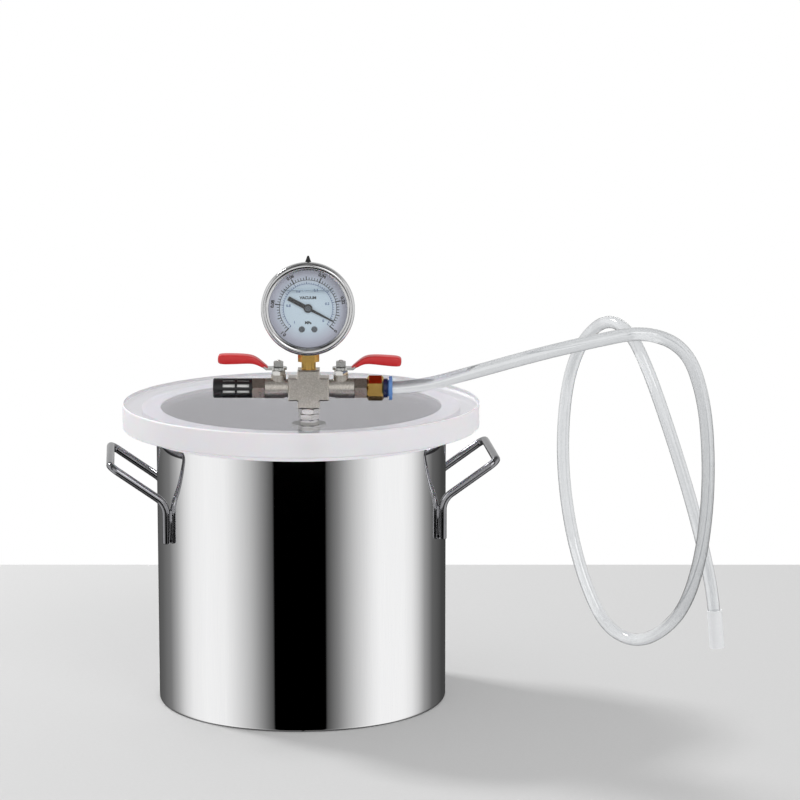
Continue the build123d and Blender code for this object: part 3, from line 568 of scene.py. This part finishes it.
# Each lamp's name, place, size in metres and power in watts
LAMPS = (
    ("key_lamp", (-1.4, 1.0, 2.0), 0.4, 34.0),
    ("fill_lamp", (1.2, -2.2, 1.8), 1.6, 14.0),
)
LAMP_AIM = Vector((0.0, 0.0, 0.1))
# Where the camera stands, its tilt up from straight down in degrees, and its lens in millimetres
CAMERA_PLACE, CAMERA_TILT, CAMERA_LENS = (0.0751, -2.426, 0.6575), 80.01, 145.85


class CHAMBER_OT_stage(bpy.types.Operator):
    """Make the bench top, the lamps, the room and the camera"""

    bl_idname = "chamber.stage"
    bl_label = "Stage"

    def execute(self, context):
        clear()
        bpy.ops.mesh.primitive_plane_add(size=1, location=(0, BENCH_MIDDLE, 0))
        bench = context.object
        bench.scale = (BENCH_WIDTH, BENCH_DEPTH, 1)
        settle(bench)
        bench.name = "bench_top"
        bench.data.materials.append(floor_finish())
        # Softboxes stand round the bench below its top, where only mirrored rays go: the
        # bench passes those, so the upright wall of the pot mirrors the boxes.
        ring = lathe(
            [(SOFTBOX_REACH, SOFTBOX_LOW), (SOFTBOX_REACH, SOFTBOX_HIGH)], steps=96, closed=False
        )
        ring.name = "softbox_ring"
        ring.data.materials.append(softbox_finish())
        for ray in ("camera", "diffuse", "transmission", "volume_scatter", "shadow"):
            setattr(ring, "visible_" + ray, False)
        for name, place, size, power in LAMPS:
            clear()
            bpy.ops.object.light_add(type="AREA", location=place)
            lamp = context.object
            lamp.name = name
            lamp.data.size = size
            lamp.data.energy = power
            aim = LAMP_AIM - Vector(place)
            lamp.rotation_euler = aim.to_track_quat("-Z", "Y").to_euler()
        studio_world()
        clear()
        bpy.ops.object.camera_add(location=CAMERA_PLACE, rotation=(radians(CAMERA_TILT), 0, 0))
        camera = context.object
        camera.data.sensor_width = 36
        camera.data.lens = CAMERA_LENS
        context.scene.camera = camera
        context.scene.view_settings.view_transform = "Standard"
        return {"FINISHED"}


# ------------------------------------------------------------------ hose

# The route in millimetres: out of the fitting, up and over, down to the bench, back up
# behind itself and down to the sleeve.
HOSE_ROUTE = [
    (57.1, -76, 252.5),
    (86, -76, 252.5),
    (128, -79, 264.5),
    (174, -85, 278.5),
    (216, -90, 289.5),
    (254, -92, 297.5),
    (285, -84, 283.5),
    (300, -64, 243.5),
    (307, -36, 194.5),
    (310, 0, 144.5),
    (309, 42, 94),
    (302, 84, 48),
    (287, 118, 19),
    (268, 146, 3.4),
    (246, 168, 9),
    (230, 184, 38),
    (217, 197, 82),
    (210, 207, 131.5),
    (210, 212, 177.5),
    (215, 214, 215.5),
    (226, 207, 245.5),
    (243, 188, 264.5),
    (260, 163, 259.5),
    (274, 146, 231.5),
    (289, 139, 189.5),
    (304, 137, 143.5),
    (315, 136, 105.5),
    (324, 136, 70),
    (330, 136, 37),
    (333, 136, 3),
]


class CHAMBER_OT_hose(bpy.types.Operator):
    """Lay the clear hose from the fitting to the soft sleeve on its free end"""

    bl_idname = "chamber.hose"
    bl_label = "Hose"

    def execute(self, context):
        settings = context.scene.chamber
        curve = bpy.data.curves.new("hose_line", "CURVE")
        curve.dimensions = "3D"
        spline = curve.splines.new("NURBS")
        spline.points.add(len(HOSE_ROUTE) - 1)
        for point, place in zip(spline.points, HOSE_ROUTE):
            point.co = (*(c * MM for c in place), 1)
        spline.order_u = 3
        spline.use_endpoint_u = True
        spline.resolution_u = 10
        curve.bevel_depth = settings.hose_diameter / 2
        curve.bevel_resolution = 6
        curve.use_fill_caps = True
        hose = bpy.data.objects.new("clear_hose", curve)
        context.collection.objects.link(hose)
        curve.materials.append(FINISH["hose"])
        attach(hose, "chamber")
        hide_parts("hose")
        let_light_through(hose)
        hose.visible_glossy = False
        return {"FINISHED"}


# ------------------------------------------------------------------ pot and handles


def bent_wire(radius, path, bends, sides=24, steps=8):
    """Draw a round wire along straight runs, and spin it round at each bend, as a bender does."""
    path = [Vector(p) for p in path]
    heading = (path[1] - path[0]).normalized()
    clear()
    bpy.ops.mesh.primitive_circle_add(
        vertices=sides, radius=radius, fill_type="NGON", location=path[0],
        rotation=heading.to_track_quat("Z", "Y").to_euler(),
    )
    wire = bpy.context.object
    settle(wire)
    edit(wire, "FACE")
    bpy.ops.mesh.select_all(action="SELECT")
    place = path[0]
    for corner, after, bend in zip(path[1:], path[2:] + [None], list(bends) + [0]):
        if after is None:
            bpy.ops.mesh.extrude_region_move(TRANSFORM_OT_translate={"value": corner - place})
            break
        leaving = (after - corner).normalized()
        turn = heading.angle(leaving)
        setback = bend * sin(turn / 2) / cos(turn / 2)
        start = corner - heading * setback
        bpy.ops.mesh.extrude_region_move(TRANSFORM_OT_translate={"value": start - place})
        axis = heading.cross(leaving).normalized()
        centre = start + axis.cross(heading) * bend
        bpy.ops.mesh.spin(steps=steps, angle=turn, center=centre, axis=-axis)
        place = corner + leaving * setback
        heading = leaving
    close_skin()
    return wire


class CHAMBER_OT_pot(bpy.types.Operator):
    """Draw the polished pot and bend its two wire handles"""

    bl_idname = "chamber.pot"
    bl_label = "Pot and handles"

    def execute(self, context):
        radius, height, wall = POT_HIGH[0], POT_HIGH[2], 1.5 * MM
        # Points this far from the rim and the base keep the shading of the wall between them even
        rim_support, base_support = 2 * MM, 8 * MM
        base = rounded(
            [(radius - base_support, 0), (radius, 0), (radius, base_support)], 2.5 * MM, 10
        )
        rim = rounded(
            [
                (radius, height - rim_support), (radius, height),
                (radius - wall, height), (radius - wall, height - rim_support),
            ],
            0.7 * MM,
        )
        heel = rounded(
            [(radius - wall, base_support), (radius - wall, wall), (radius - base_support, wall)],
            1.2 * MM, 6,
        )
        profile = [(0, 0), *base, *rim, *heel, (0, wall)]
        pot = lathe(profile, steps=256, closed=False)
        finish_piece(pot, "pot_shell", "chamber", FINISH["pot"], ["pot"], smooth=40)
        # The faces inside the wall, above the base, take the mill finish whose darkened colour is painted
        # shade.
        pot.data.materials.append(FINISH["mill_steel"])
        for face in pot.data.polygons:
            middle = face.center
            if middle.z > 1 * MM and hypot(middle.x, middle.y) < radius - wall / 2:
                face.material_index = 1
        for side in ("left", "right"):
            self.handle(side)
        return {"FINISHED"}

    def handle(self, side):
        """Bend one wire handle and weld its feet to the pot."""
        wire, weld_gap = 3 * MM, 0.05 * MM
        facing = radians(4.75 + (180 if side == "left" else 0))
        turn = Matrix.Rotation(facing, 4, "Z")
        reach, spread = 145 * MM, 44.5 * MM
        leg = sqrt((POT_HIGH[0] + wire + weld_gap) ** 2 - spread**2)
        foot, knee, grip = 130 * MM, 160.5 * MM, 189.5 * MM
        knee_bend, grip_bend = 15 * MM, 7 * MM
        path = [
            turn @ Vector(p)
            for p in (
                (leg, -spread, foot), (leg, -spread, knee), (reach, -spread, grip),
                (reach, spread, grip), (leg, spread, knee), (leg, spread, foot),
            )
        ]
        handle = bent_wire(wire, path, (knee_bend, grip_bend, grip_bend, knee_bend), steps=10)
        bevel(handle, 1.0 * MM, 3, 60)
        # Resistance-welded feet: a bead runs down each side of the leg where it meets the pot.
        bead_reach = POT_HIGH[0] + 0.25 * MM
        bead_middle = (foot + knee) / 2 - 1 * MM
        bead_angle = 0.0165
        beads = []
        for way, across in ((-1, -1), (-1, 1), (1, -1), (1, 1)):
            clear()
            bpy.ops.mesh.primitive_uv_sphere_add(segments=16, ring_count=10, radius=1.0)
            bead = bpy.context.object
            bead.scale = (1.1 * MM, 1.3 * MM, 11.5 * MM)
            angle = atan2(way * spread, leg) + across * bead_angle
            bead.location = turn @ Vector((bead_reach * cos(angle), bead_reach * sin(angle), bead_middle))
            bead.rotation_euler = (0, 0, angle + facing)
            settle(bead)
            beads.append(bead)
        handle = join([handle, *beads])
        # The wire finish's darkened colour paints the handle's dark reflections.
        finish_piece(
            handle, f"{side}_wire_handle", "chamber", FINISH["wire"], [f"{side}_handle"], 40
        )


# ------------------------------------------------------------------ seal and lid


class CHAMBER_OT_lid(bpy.types.Operator):
    """Mould the white seal and cut the clear lid with its port hole"""

    bl_idname = "chamber.lid"
    bl_label = "Seal and lid"

    def execute(self, context):
        inner, outer = 106.5 * MM, 121 * MM
        top = LID_LOW[2] - 0.25 * MM
        rim = POT_HIGH[2]
        seal = lathe(
            rounded(
                [
                    (114 * MM, top), (outer, top), (outer, rim - 1.5 * MM), (110.1 * MM, rim - 1.5 * MM),
                    (110.1 * MM, rim + 0.05 * MM), (108.9 * MM, rim + 0.05 * MM),
                    (108.9 * MM, top - 1.6 * MM), (inner, top - 1.0 * MM), (inner, top), (113 * MM, top),
                ],
                0.4 * MM, 3,
            ),
            steps=192,
        )
        finish_piece(seal, "rim_seal", "chamber", FINISH["silicone"], ["gasket"], 35)

        radius, low, high = LID_HIGH[0], LID_LOW[2], LID_HIGH[2]
        lip = 0.8 * MM
        lid = lathe(
            [
                (0, low), (radius - lip, low), (radius, low + lip), (radius, high - lip),
                (radius - lip, high), (0, high),
            ],
            steps=256, closed=False,
        )
        clear()
        bpy.ops.mesh.primitive_cylinder_add(
            vertices=64, radius=6.8 * MM, depth=40 * MM, location=(PORT.x, PORT.y, high)
        )
        carve(lid, bpy.context.object)
        finish_piece(lid, "clear_lid", "chamber", FINISH["acrylic"], ["lid"], 30)
        lid.data.materials.append(FINISH["acrylic_edge"])
        for face in lid.data.polygons:
            middle = face.center
            if hypot(middle.x, middle.y) > radius - 1.5 * MM and abs(face.normal.z) < 0.9:
                face.material_index = 1
        let_light_through(lid)
        return {"FINISHED"}


# ------------------------------------------------------------------ manifold


def hexagon(across, length, centre, direction, turn=0.0, lead=0.1, both=True):
    """Hex bar with the rounded corners that chamfering in the lathe leaves on its ends."""
    centre, direction = Vector(centre), Vector(direction).normalized()
    corner = across / 2 / cos(pi / 6)
    clear()
    bpy.ops.mesh.primitive_cylinder_add(
        vertices=6, radius=corner, depth=length, location=centre,
        rotation=direction.to_track_quat("Z", "Y").to_euler(),
    )
    bar = bpy.context.object
    settle(bar)
    here = Matrix.Translation(centre)
    bar.data.transform(here @ Matrix.Rotation(turn, 4, direction) @ here.inverted())
    reach, half = corner * 1.01, length / 2
    drop = across * lead
    start = [(reach - drop, -half), (reach, -half + drop / 2)] if both else [(reach, -half)]
    profile = [(0, -half), *start, (reach, half - drop / 2), (reach - drop, half), (0, half)]
    out = direction.orthogonal().normalized()
    turned = lathe(profile, centre, direction, out, steps=48, closed=False)
    carve(bar, turned, "INTERSECT")
    return bar


def bore(obj, radius, centre, direction, depth=60 * MM):
    """Drill a round hole through a piece."""
    clear()
    bpy.ops.mesh.primitive_cylinder_add(
        vertices=48, radius=radius, depth=depth, location=centre,
        rotation=Vector(direction).to_track_quat("Z", "Y").to_euler(),
    )
    carve(obj, bpy.context.object)


def thread(radius, pitch, low, high, centre, depth=0.55 * MM):
    """Rings of a pipe thread, close enough to a helix at this pitch."""
    points, z = [(0, low)], low
    while z < high - pitch * 0.9:
        points += [(radius - depth, z), (radius, z + pitch * 0.45), (radius, z + pitch * 0.55)]
        z += pitch
    points += [(radius - depth, high), (0, high)]
    return lathe(points, centre, steps=64, closed=False)


FLOW_RADIUS = 3 * MM
THREAD_RADIUS, THREAD_HOLE_RADIUS = 6.5 * MM, 6.55 * MM
PORT_HEX, NIPPLE_HEX_HEIGHT = 14 * MM, 4.2 * MM


class CHAMBER_OT_port(bpy.types.Operator):
    """Turn the nipple and the nuts that clamp it in the lid"""

    bl_idname = "chamber.port"
    bl_label = "Port"

    def execute(self, context):
        low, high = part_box("hex_nipple")
        middle = (PORT.x, PORT.y, LID_HIGH[2] + NIPPLE_HEX_HEIGHT / 2)
        body = hexagon(PORT_HEX, NIPPLE_HEX_HEIGHT, middle, UP, radians(12))
        threads = thread(THREAD_RADIUS, 1.3 * MM, low[2], high[2], (PORT.x, PORT.y, 0))
        carve(body, threads, "UNION")
        bore(body, FLOW_RADIUS, middle, UP, 80 * MM)
        finish_piece(body, "nipple", "chamber", FINISH["bright_nickel"], ["hex_nipple"])
        self.nut("locking_nut", "jam_nut", PORT_HEX, 24, "bright_nickel", "bright_nickel")
        self.nut("inside_nut", "clamp_nut", 17 * MM, 0, "zinc", "zinc_steel")
        return {"FINISHED"}

    def nut(self, name, node, across, turn, finish, slot):
        """A hex nut on the nipple's thread, in the place of its CAD piece."""
        low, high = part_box(node)
        middle = (PORT.x, PORT.y, (low[2] + high[2]) / 2)
        nut = hexagon(across, high[2] - low[2], middle, UP, radians(turn))
        bore(nut, THREAD_HOLE_RADIUS, (PORT.x, PORT.y, low[2]), UP)
        finish_piece(nut, name, "chamber", FINISH[finish], [node])


class CHAMBER_OT_valves(bpy.types.Operator):
    """Turn the small hex parts of both valves and dip their lever grips"""

    bl_idname = "chamber.valves"
    bl_label = "Valves"

    def execute(self, context):
        for side, sign in (("left", -1), ("right", 1)):
            stem_low, stem_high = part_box(f"{side}_stem")
            centre = ((stem_low[0] + stem_high[0]) / 2, PORT.y)
            self.tower(side, centre)
            self.cap(side, sign)
            self.grip(side, sign, centre[0])
        return {"FINISHED"}

    def tower(self, side, centre):
        """The nut on top of the lever and the packing nut under it."""
        low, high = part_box(f"{side}_lever_nut")
        nut = hexagon(7 * MM, high[2] - low[2], (*centre, (low[2] + high[2]) / 2), UP, lead=0.12)
        bore(nut, 1.75 * MM, (*centre, low[2]), UP)
        finish_piece(
            nut, f"{side}_top_nut", f"{side}_lever", FINISH["zinc"], [f"{side}_lever_nut"]
        )
        low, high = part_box(f"{side}_gland_nut")
        height, overlap = 3.3 * MM, 0.5 * MM
        hex_low = high[2] - height
        middle = (*centre, hex_low + height / 2)
        nut = hexagon(9 * MM, height, middle, UP, radians(15), both=False)
        skirt = lathe(
            [(0, low[2]), (3.6 * MM, low[2]), (3.6 * MM, hex_low + overlap), (0, hex_low + overlap)],
            (*centre, 0), steps=48, closed=False,
        )
        carve(nut, skirt, "UNION")
        bore(nut, 2.5 * MM, (*centre, low[2]), UP)
        finish_piece(
            nut, f"{side}_packing_nut", "chamber", FINISH["bright_nickel"],
            [f"{side}_gland_nut"],
        )

    def cap(self, side, sign):
        """The hex end cap, with the round spigot that screws into the body."""
        low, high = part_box(f"{side}_valve_cap")
        outer = high[0] if sign > 0 else low[0]
        along = (sign, 0, 0)
        length = 9.6 * MM
        spigot = abs(high[0] - low[0]) - length
        middle = Vector((outer - sign * length / 2, PORT.y, FLOW_Z))
        cap = hexagon(14.4 * MM, length, middle, along, sign * radians(20))
        inner = Vector((outer - sign * (length + spigot / 2), PORT.y, FLOW_Z))
        clear()
        bpy.ops.mesh.primitive_cylinder_add(
            vertices=48, radius=5.15 * MM, depth=spigot + 0.4 * MM, location=inner,
            rotation=(0, radians(90), 0),
        )
        carve(cap, bpy.context.object, "UNION")
        bore(cap, FLOW_RADIUS, middle, along)
        mouth = middle + Vector(along) * (length / 2 - 4 * MM)
        bore(cap, THREAD_HOLE_RADIUS, mouth, along, 8.01 * MM)
        finish_piece(
            cap, f"{side}_end_cap", "chamber", FINISH["dull_nickel"], [f"{side}_valve_cap"]
        )

    def grip(self, side, sign, stem_x):
        """A dipped sleeve: thin and narrow at the stem, swelling to a rounded end."""
        plate_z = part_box(f"{side}_lever")[0][2]
        droop = 0.0 if side == "left" else 1.8
        # distance out, underside, top, half width, all in millimetres from the stem and plate
        sections = (
            (7.4, -0.5, 2.3, 3.6), (10.2, 0.7, 4.4, 4.6), (13.2, 2.4, 7.0, 5.2), (16.6, 4.2, 9.4, 5.8),
            (20.6, 4.9, 10.9, 6.1), (28.0, 4.6, 11.5, 6.25), (36.0, 4.3, 11.6, 6.25),
            (40.5, 4.3, 11.6, 6.2), (43.2, 4.6, 11.3, 5.7), (44.6, 5.8, 10.2, 4.3),
        )
        clear()
        out, under, top, half = sections[0]
        bpy.ops.mesh.primitive_plane_add(size=1, location=(0, 0, 0), rotation=(0, radians(90), 0))
        grip = bpy.context.object
        settle(grip)
        edit(grip, "FACE")
        bpy.ops.mesh.select_all(action="SELECT")
        bpy.ops.transform.resize(value=(1, 2 * half * MM, (top - under) * MM))
        bpy.ops.transform.translate(value=(out * MM, 0, (top + under) / 2 * MM))
        for before, after in zip(sections, sections[1:]):
            rise = (after[1] + after[2] - before[1] - before[2]) / 2
            bpy.ops.mesh.extrude_region_move(
                TRANSFORM_OT_translate={"value": ((after[0] - before[0]) * MM, 0, rise * MM)}
            )
            bpy.ops.transform.resize(
                value=(1, after[3] / before[3], (after[2] - after[1]) / (before[2] - before[1])),
                center_override=(after[0] * MM, 0, (after[1] + after[2]) / 2 * MM),
            )
        bpy.ops.object.mode_set(mode="OBJECT")
        for vertex in grip.data.vertices:
            past = max(0.0, (vertex.co.x - 18 * MM) / (24 * MM))
            vertex.co.z -= droop * MM * past
            vertex.co.x = stem_x + sign * vertex.co.x
            vertex.co.y += PORT.y
            vertex.co.z += plate_z
        edit(grip)
        close_skin()
        bevel(grip, 1.5 * MM, 2, 50)
        only(grip)
        round_off = grip.modifiers.new("round", "SUBSURF")
        round_off.levels = round_off.render_levels = 2
        bpy.ops.object.modifier_apply(modifier=round_off.name)
        finish_piece(
            grip, f"{side}_lever_grip", f"{side}_lever", FINISH["red_vinyl"],
            [f"{side}_grip"], 60,
        )


# ------------------------------------------------------------------ gauge


def spin_round_scale(steps, dupli):
    """Spin what is selected from one end of the scale to the other, and leave edit mode."""
    bpy.ops.mesh.spin(
        steps=steps, angle=radians(FULL_BEARING - ZERO_BEARING), dupli=dupli, center=GAUGE, axis=(0, 1, 0)
    )
    bpy.ops.object.mode_set(mode="OBJECT")


def tick_ring(count, inner, outer, width):
    """One printed line, spun round the dial as many times as the scale needs."""
    clear()
    place = dial_place((inner + outer) / 2, 0, DIAL_FACE - 0.03)
    bpy.ops.mesh.primitive_cube_add(size=1, location=place)
    tick = bpy.context.object
    tick.scale = ((outer - inner) * MM, 0.05 * MM, width * MM)
    settle(tick)
    here = Matrix.Translation(GAUGE)
    tick.data.transform(here @ Matrix.Rotation(radians(-ZERO_BEARING), 4, (0, 1, 0)) @ here.inverted())
    edit(tick, "FACE")
    bpy.ops.mesh.select_all(action="SELECT")
    spin_round_scale(count, True)
    return tick


def scale_arc(radius, width):
    """A thin printed line round the scale."""
    inner, outer = radius - width / 2, radius + width / 2
    arc = draw_line([dial_place(edge, ZERO_BEARING, PRINT_FACE) for edge in (inner, outer)])
    spin_round_scale(72, False)
    return arc


def dial_word(words, size, place, turn=0.0, heavy=0.0):
    """Printed lettering, made a mesh and laid on the dial."""
    clear()
    bpy.ops.object.text_add(location=place, rotation=(radians(90), radians(-turn), 0))
    word = bpy.context.object
    word.data.body = words
    word.data.size = size * MM
    word.data.align_x = "CENTER"
    word.data.align_y = "CENTER"
    word.data.resolution_u = 3
    word.data.offset = heavy * MM
    bpy.ops.object.convert(target="MESH")
    settle(bpy.context.object)
    return bpy.context.object


NUMBER_STEP = (FULL_BEARING - ZERO_BEARING) / 5
SCREW_SPREAD, SCREW_DROP = 4.6 * MM, 15.5 * MM
# Where the pointer rests, in degrees anticlockwise from the right
POINTER_REST = -27.5


class CHAMBER_OT_gauge(bpy.types.Operator):
    """Press the bezel, print the dial and fit the window, pointer and screws"""

    bl_idname = "chamber.gauge"
    bl_label = "Gauge"

    def execute(self, context):
        self.bezel()
        self.window()
        self.plate()
        self.coarse_scale()
        self.fine_scale()
        self.screws()
        self.needle()
        self.liquid()
        return {"FINISHED"}

    def bezel(self):
        """A sloping inner lip, a rolled edge and a skirt crimped behind the case flange."""
        bezel = lathe(
            rounded(
                [
                    (32.55 * MM, 10.0 * MM), (32.55 * MM, 14.6 * MM), (28.7 * MM, 14.6 * MM),
                    (28.7 * MM, 15.3 * MM), (30.6 * MM, 16.9 * MM), (32.4 * MM, 17.0 * MM),
                    (34.2 * MM, 15.2 * MM), (34.2 * MM, 9.2 * MM), (33.4 * MM, 8.4 * MM),
                    (31.05 * MM, 8.4 * MM), (31.05 * MM, 9.5 * MM), (32.55 * MM, 9.5 * MM),
                ],
                0.7 * MM, 4,
            ),
            GAUGE, FACING, steps=160,
        )
        finish_piece(
            bezel, "bezel_ring", "chamber", FINISH["gauge_steel"], ["gauge_bezel"], 40
        )

    def window(self):
        """A flat glass disc with its edges broken."""
        window = lathe(
            [
                (0, 12.0 * MM), (31.8 * MM, 12.0 * MM), (32.2 * MM, 12.4 * MM),
                (32.2 * MM, 14.1 * MM), (31.8 * MM, 14.5 * MM), (0, 14.5 * MM),
            ],
            GAUGE, FACING, closed=False,
        )
        finish_piece(window, "dial_window", "chamber", FINISH["glass"], ["gauge_window"])
        let_light_through(window)

    def plate(self):
        """The dial's plate, with a hole for the arbor and two for its screws."""
        plate = lathe(
            [(1.5 * MM, 8.0 * MM), (29.0 * MM, 8.0 * MM), (29.0 * MM, 8.6 * MM), (1.5 * MM, 8.6 * MM)],
            GAUGE, FACING,
        )
        for across in (-SCREW_SPREAD, SCREW_SPREAD):
            bore(plate, 1.1 * MM, GAUGE + Vector((across, 0, -SCREW_DROP)), FACING)
        finish_piece(plate, "dial_plate", "chamber", FINISH["dial"], ["dial"])

    def coarse_scale(self):
        """The outer scale in black, with its numbers and the dial's two words."""
        inks = [
            tick_ring(50, 20.8, 22.8, 0.5), tick_ring(10, 20.8, 23.6, 0.62), tick_ring(5, 20.2, 24.4, 0.8),
            scale_arc(20.9, 0.4),
        ]
        for number, label in enumerate(("0", "0.02", "0.04", "0.06", "0.08", "0.1")):
            bearing = ZERO_BEARING + number * NUMBER_STEP
            place = dial_place(26.0, bearing, PRINT_FACE)
            inks.append(dial_word(label, 3.3, place, bearing - 90, 0.14))
        inks.append(dial_word("VACUUM", 2.9, dial_place(7.7, 90, PRINT_FACE), 0, 0.13))
        inks.append(dial_word("MPa", 2.8, dial_place(10.7, -90, PRINT_FACE), 0, 0.13))
        finish_piece(join(inks), "dial_print", "chamber", FINISH["ink"])

    def fine_scale(self):
        """The inner scale in blue."""
        inks = [tick_ring(50, 18.0, 19.0, 0.34), tick_ring(10, 18.0, 19.6, 0.44), scale_arc(18.0, 0.3)]
        for number, label in enumerate(("0", "0.2", "0.4", "0.6", "0.8", "1")):
            bearing = ZERO_BEARING + number * NUMBER_STEP
            inks.append(dial_word(label, 2.6, dial_place(14.4, bearing, PRINT_FACE), 0, 0.06))
        finish_piece(join(inks), "dial_fine_print", "chamber", FINISH["blue_ink"])

    def screws(self):
        """Two cross-slotted screws that hold the dial."""
        screws = []
        for across, turn in ((-SCREW_SPREAD, 35), (SCREW_SPREAD, 120)):
            place = GAUGE + Vector((across, 0, -SCREW_DROP))
            profile = rounded(
                [
                    (0, 7.4 * MM), (1.05 * MM, 7.4 * MM), (1.05 * MM, 8.62 * MM),
                    (2.3 * MM, 8.62 * MM), (2.2 * MM, 9.15 * MM), (0, 9.25 * MM),
                ],
                0.25 * MM, 3,
            )
            screw = lathe(profile, place, FACING, steps=32, closed=False)
            for more in (0, 90):
                clear()
                bpy.ops.mesh.primitive_cube_add(
                    size=1, location=place + Vector((0, -9.3 * MM, 0)),
                    rotation=(0, radians(turn + more), 0),
                )
                slot = bpy.context.object
                slot.scale = (3.2 * MM, 0.9 * MM, 0.5 * MM)
                settle(slot)
                carve(screw, slot)
            screws.append(screw)
        finish_piece(join(screws), "dial_fixings", "chamber", FINISH["hub"], ["dial_screws"])

    def needle(self):
        """The pointer: a parallel tail and a tapering tip, with a turned hub pressed on."""
        tip, tail, root = 20.6 * MM, 16.2 * MM, 0.4 * MM
        clear()
        bpy.ops.mesh.primitive_cube_add(size=1, location=((tip - tail) / 2, 0, 0))
        arm = bpy.context.object
        arm.scale = (tip + tail, 0.6 * MM, 1 * MM)
        settle(arm)
        edit(arm)
        for place in (-root, root):
            bpy.ops.mesh.select_all(action="SELECT")
            bpy.ops.mesh.bisect(plane_co=(place, 0, 0), plane_no=(1, 0, 0))
        bpy.ops.object.mode_set(mode="OBJECT")
        for vertex in arm.data.vertices:
            if vertex.co.x < 0:
                half = 1.55 * MM
            elif vertex.co.x < tip / 2:
                half = 1.05 * MM
            else:
                half = 0.45 * MM
            vertex.co.z = half if vertex.co.z > 0 else -half
        bevel(arm, 0.08 * MM, 2, 40)
        turn = Matrix.Rotation(radians(-POINTER_REST), 4, (0, 1, 0))
        arm.data.transform(Matrix.Translation(GAUGE + Vector((0, -9.3 * MM, 0))) @ turn)
        profile = rounded(
            [
                (0, 9.0 * MM), (3.2 * MM, 9.0 * MM), (3.2 * MM, 9.75 * MM), (2.2 * MM, 10.1 * MM),
                (0, 10.15 * MM),
            ],
            0.2 * MM, 3,
        )
        hub = lathe(profile, GAUGE, FACING, steps=48, closed=False)
        needle = join([arm, hub])
        finish_piece(needle, "needle", "gauge_needle", FINISH["pointer"], ["pointer"], 35)
        needle.data.materials.append(FINISH["hub"])
        for face in needle.data.polygons:
            middle = face.center - GAUGE
            if hypot(middle.x, middle.z) < 2.1 * MM and middle.y < -9.9 * MM:
                face.material_index = 1

    def liquid(self):
        """The surface of the liquid in the case, seen edge-on behind the window."""
        clear()
        bpy.ops.mesh.primitive_cube_add(size=1, location=GAUGE + Vector((0, -10.3 * MM, 13.4 * MM)))
        level = bpy.context.object
        level.scale = (36.0 * MM, 2.4 * MM, 0.3 * MM)
        settle(level)
        bevel(level, 0.12 * MM, 2, 40)
        finish_piece(level, "liquid_level", "chamber", FINISH["liquid"], smooth=40)


# ------------------------------------------------------------------ CAD finishes


class CHAMBER_OT_finishes(bpy.types.Operator):
    """Make every finish and give the CAD pieces theirs"""

    bl_idname = "chamber.finishes"
    bl_label = "Finishes"

    def execute(self, context):
        make_finishes()
        for name, finish in CAD_FINISH.items():
            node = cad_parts[name]
            for slot in node.material_slots:
                slot.material = FINISH[finish]
        for name in SEE_THROUGH:
            let_light_through(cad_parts[name])
            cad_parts[name].visible_glossy = False
        return {"FINISHED"}


# ------------------------------------------------------------------ panel and run


class CHAMBER_PT_panel(bpy.types.Panel):
    """Lists the settings and every step that makes the chamber"""

    bl_idname = "CHAMBER_PT_panel"
    bl_label = "Vacuum chamber"
    bl_space_type = "VIEW_3D"
    bl_region_type = "UI"
    bl_category = "Chamber"

    def draw(self, context):
        column = self.layout.column()
        column.prop(context.scene.chamber, "hose_diameter")
        for step in STEPS:
            column.operator(step.bl_idname)


STEPS = (
    CHAMBER_OT_finishes,
    CHAMBER_OT_stage,
    CHAMBER_OT_hose,
    CHAMBER_OT_pot,
    CHAMBER_OT_lid,
    CHAMBER_OT_port,
    CHAMBER_OT_valves,
    CHAMBER_OT_gauge,
)
CLASSES = (ChamberSettings, *STEPS, CHAMBER_PT_panel)


def register():
    for item in CLASSES:
        bpy.utils.register_class(item)
    bpy.types.Scene.chamber = bpy.props.PointerProperty(type=ChamberSettings)


def unregister():
    del bpy.types.Scene.chamber
    for item in reversed(CLASSES):
        bpy.utils.unregister_class(item)


def main():
    register()
    for step in STEPS:
        group, name = step.bl_idname.split(".")
        getattr(getattr(bpy.ops, group), name)()


if __name__ == "__main__":
    main()
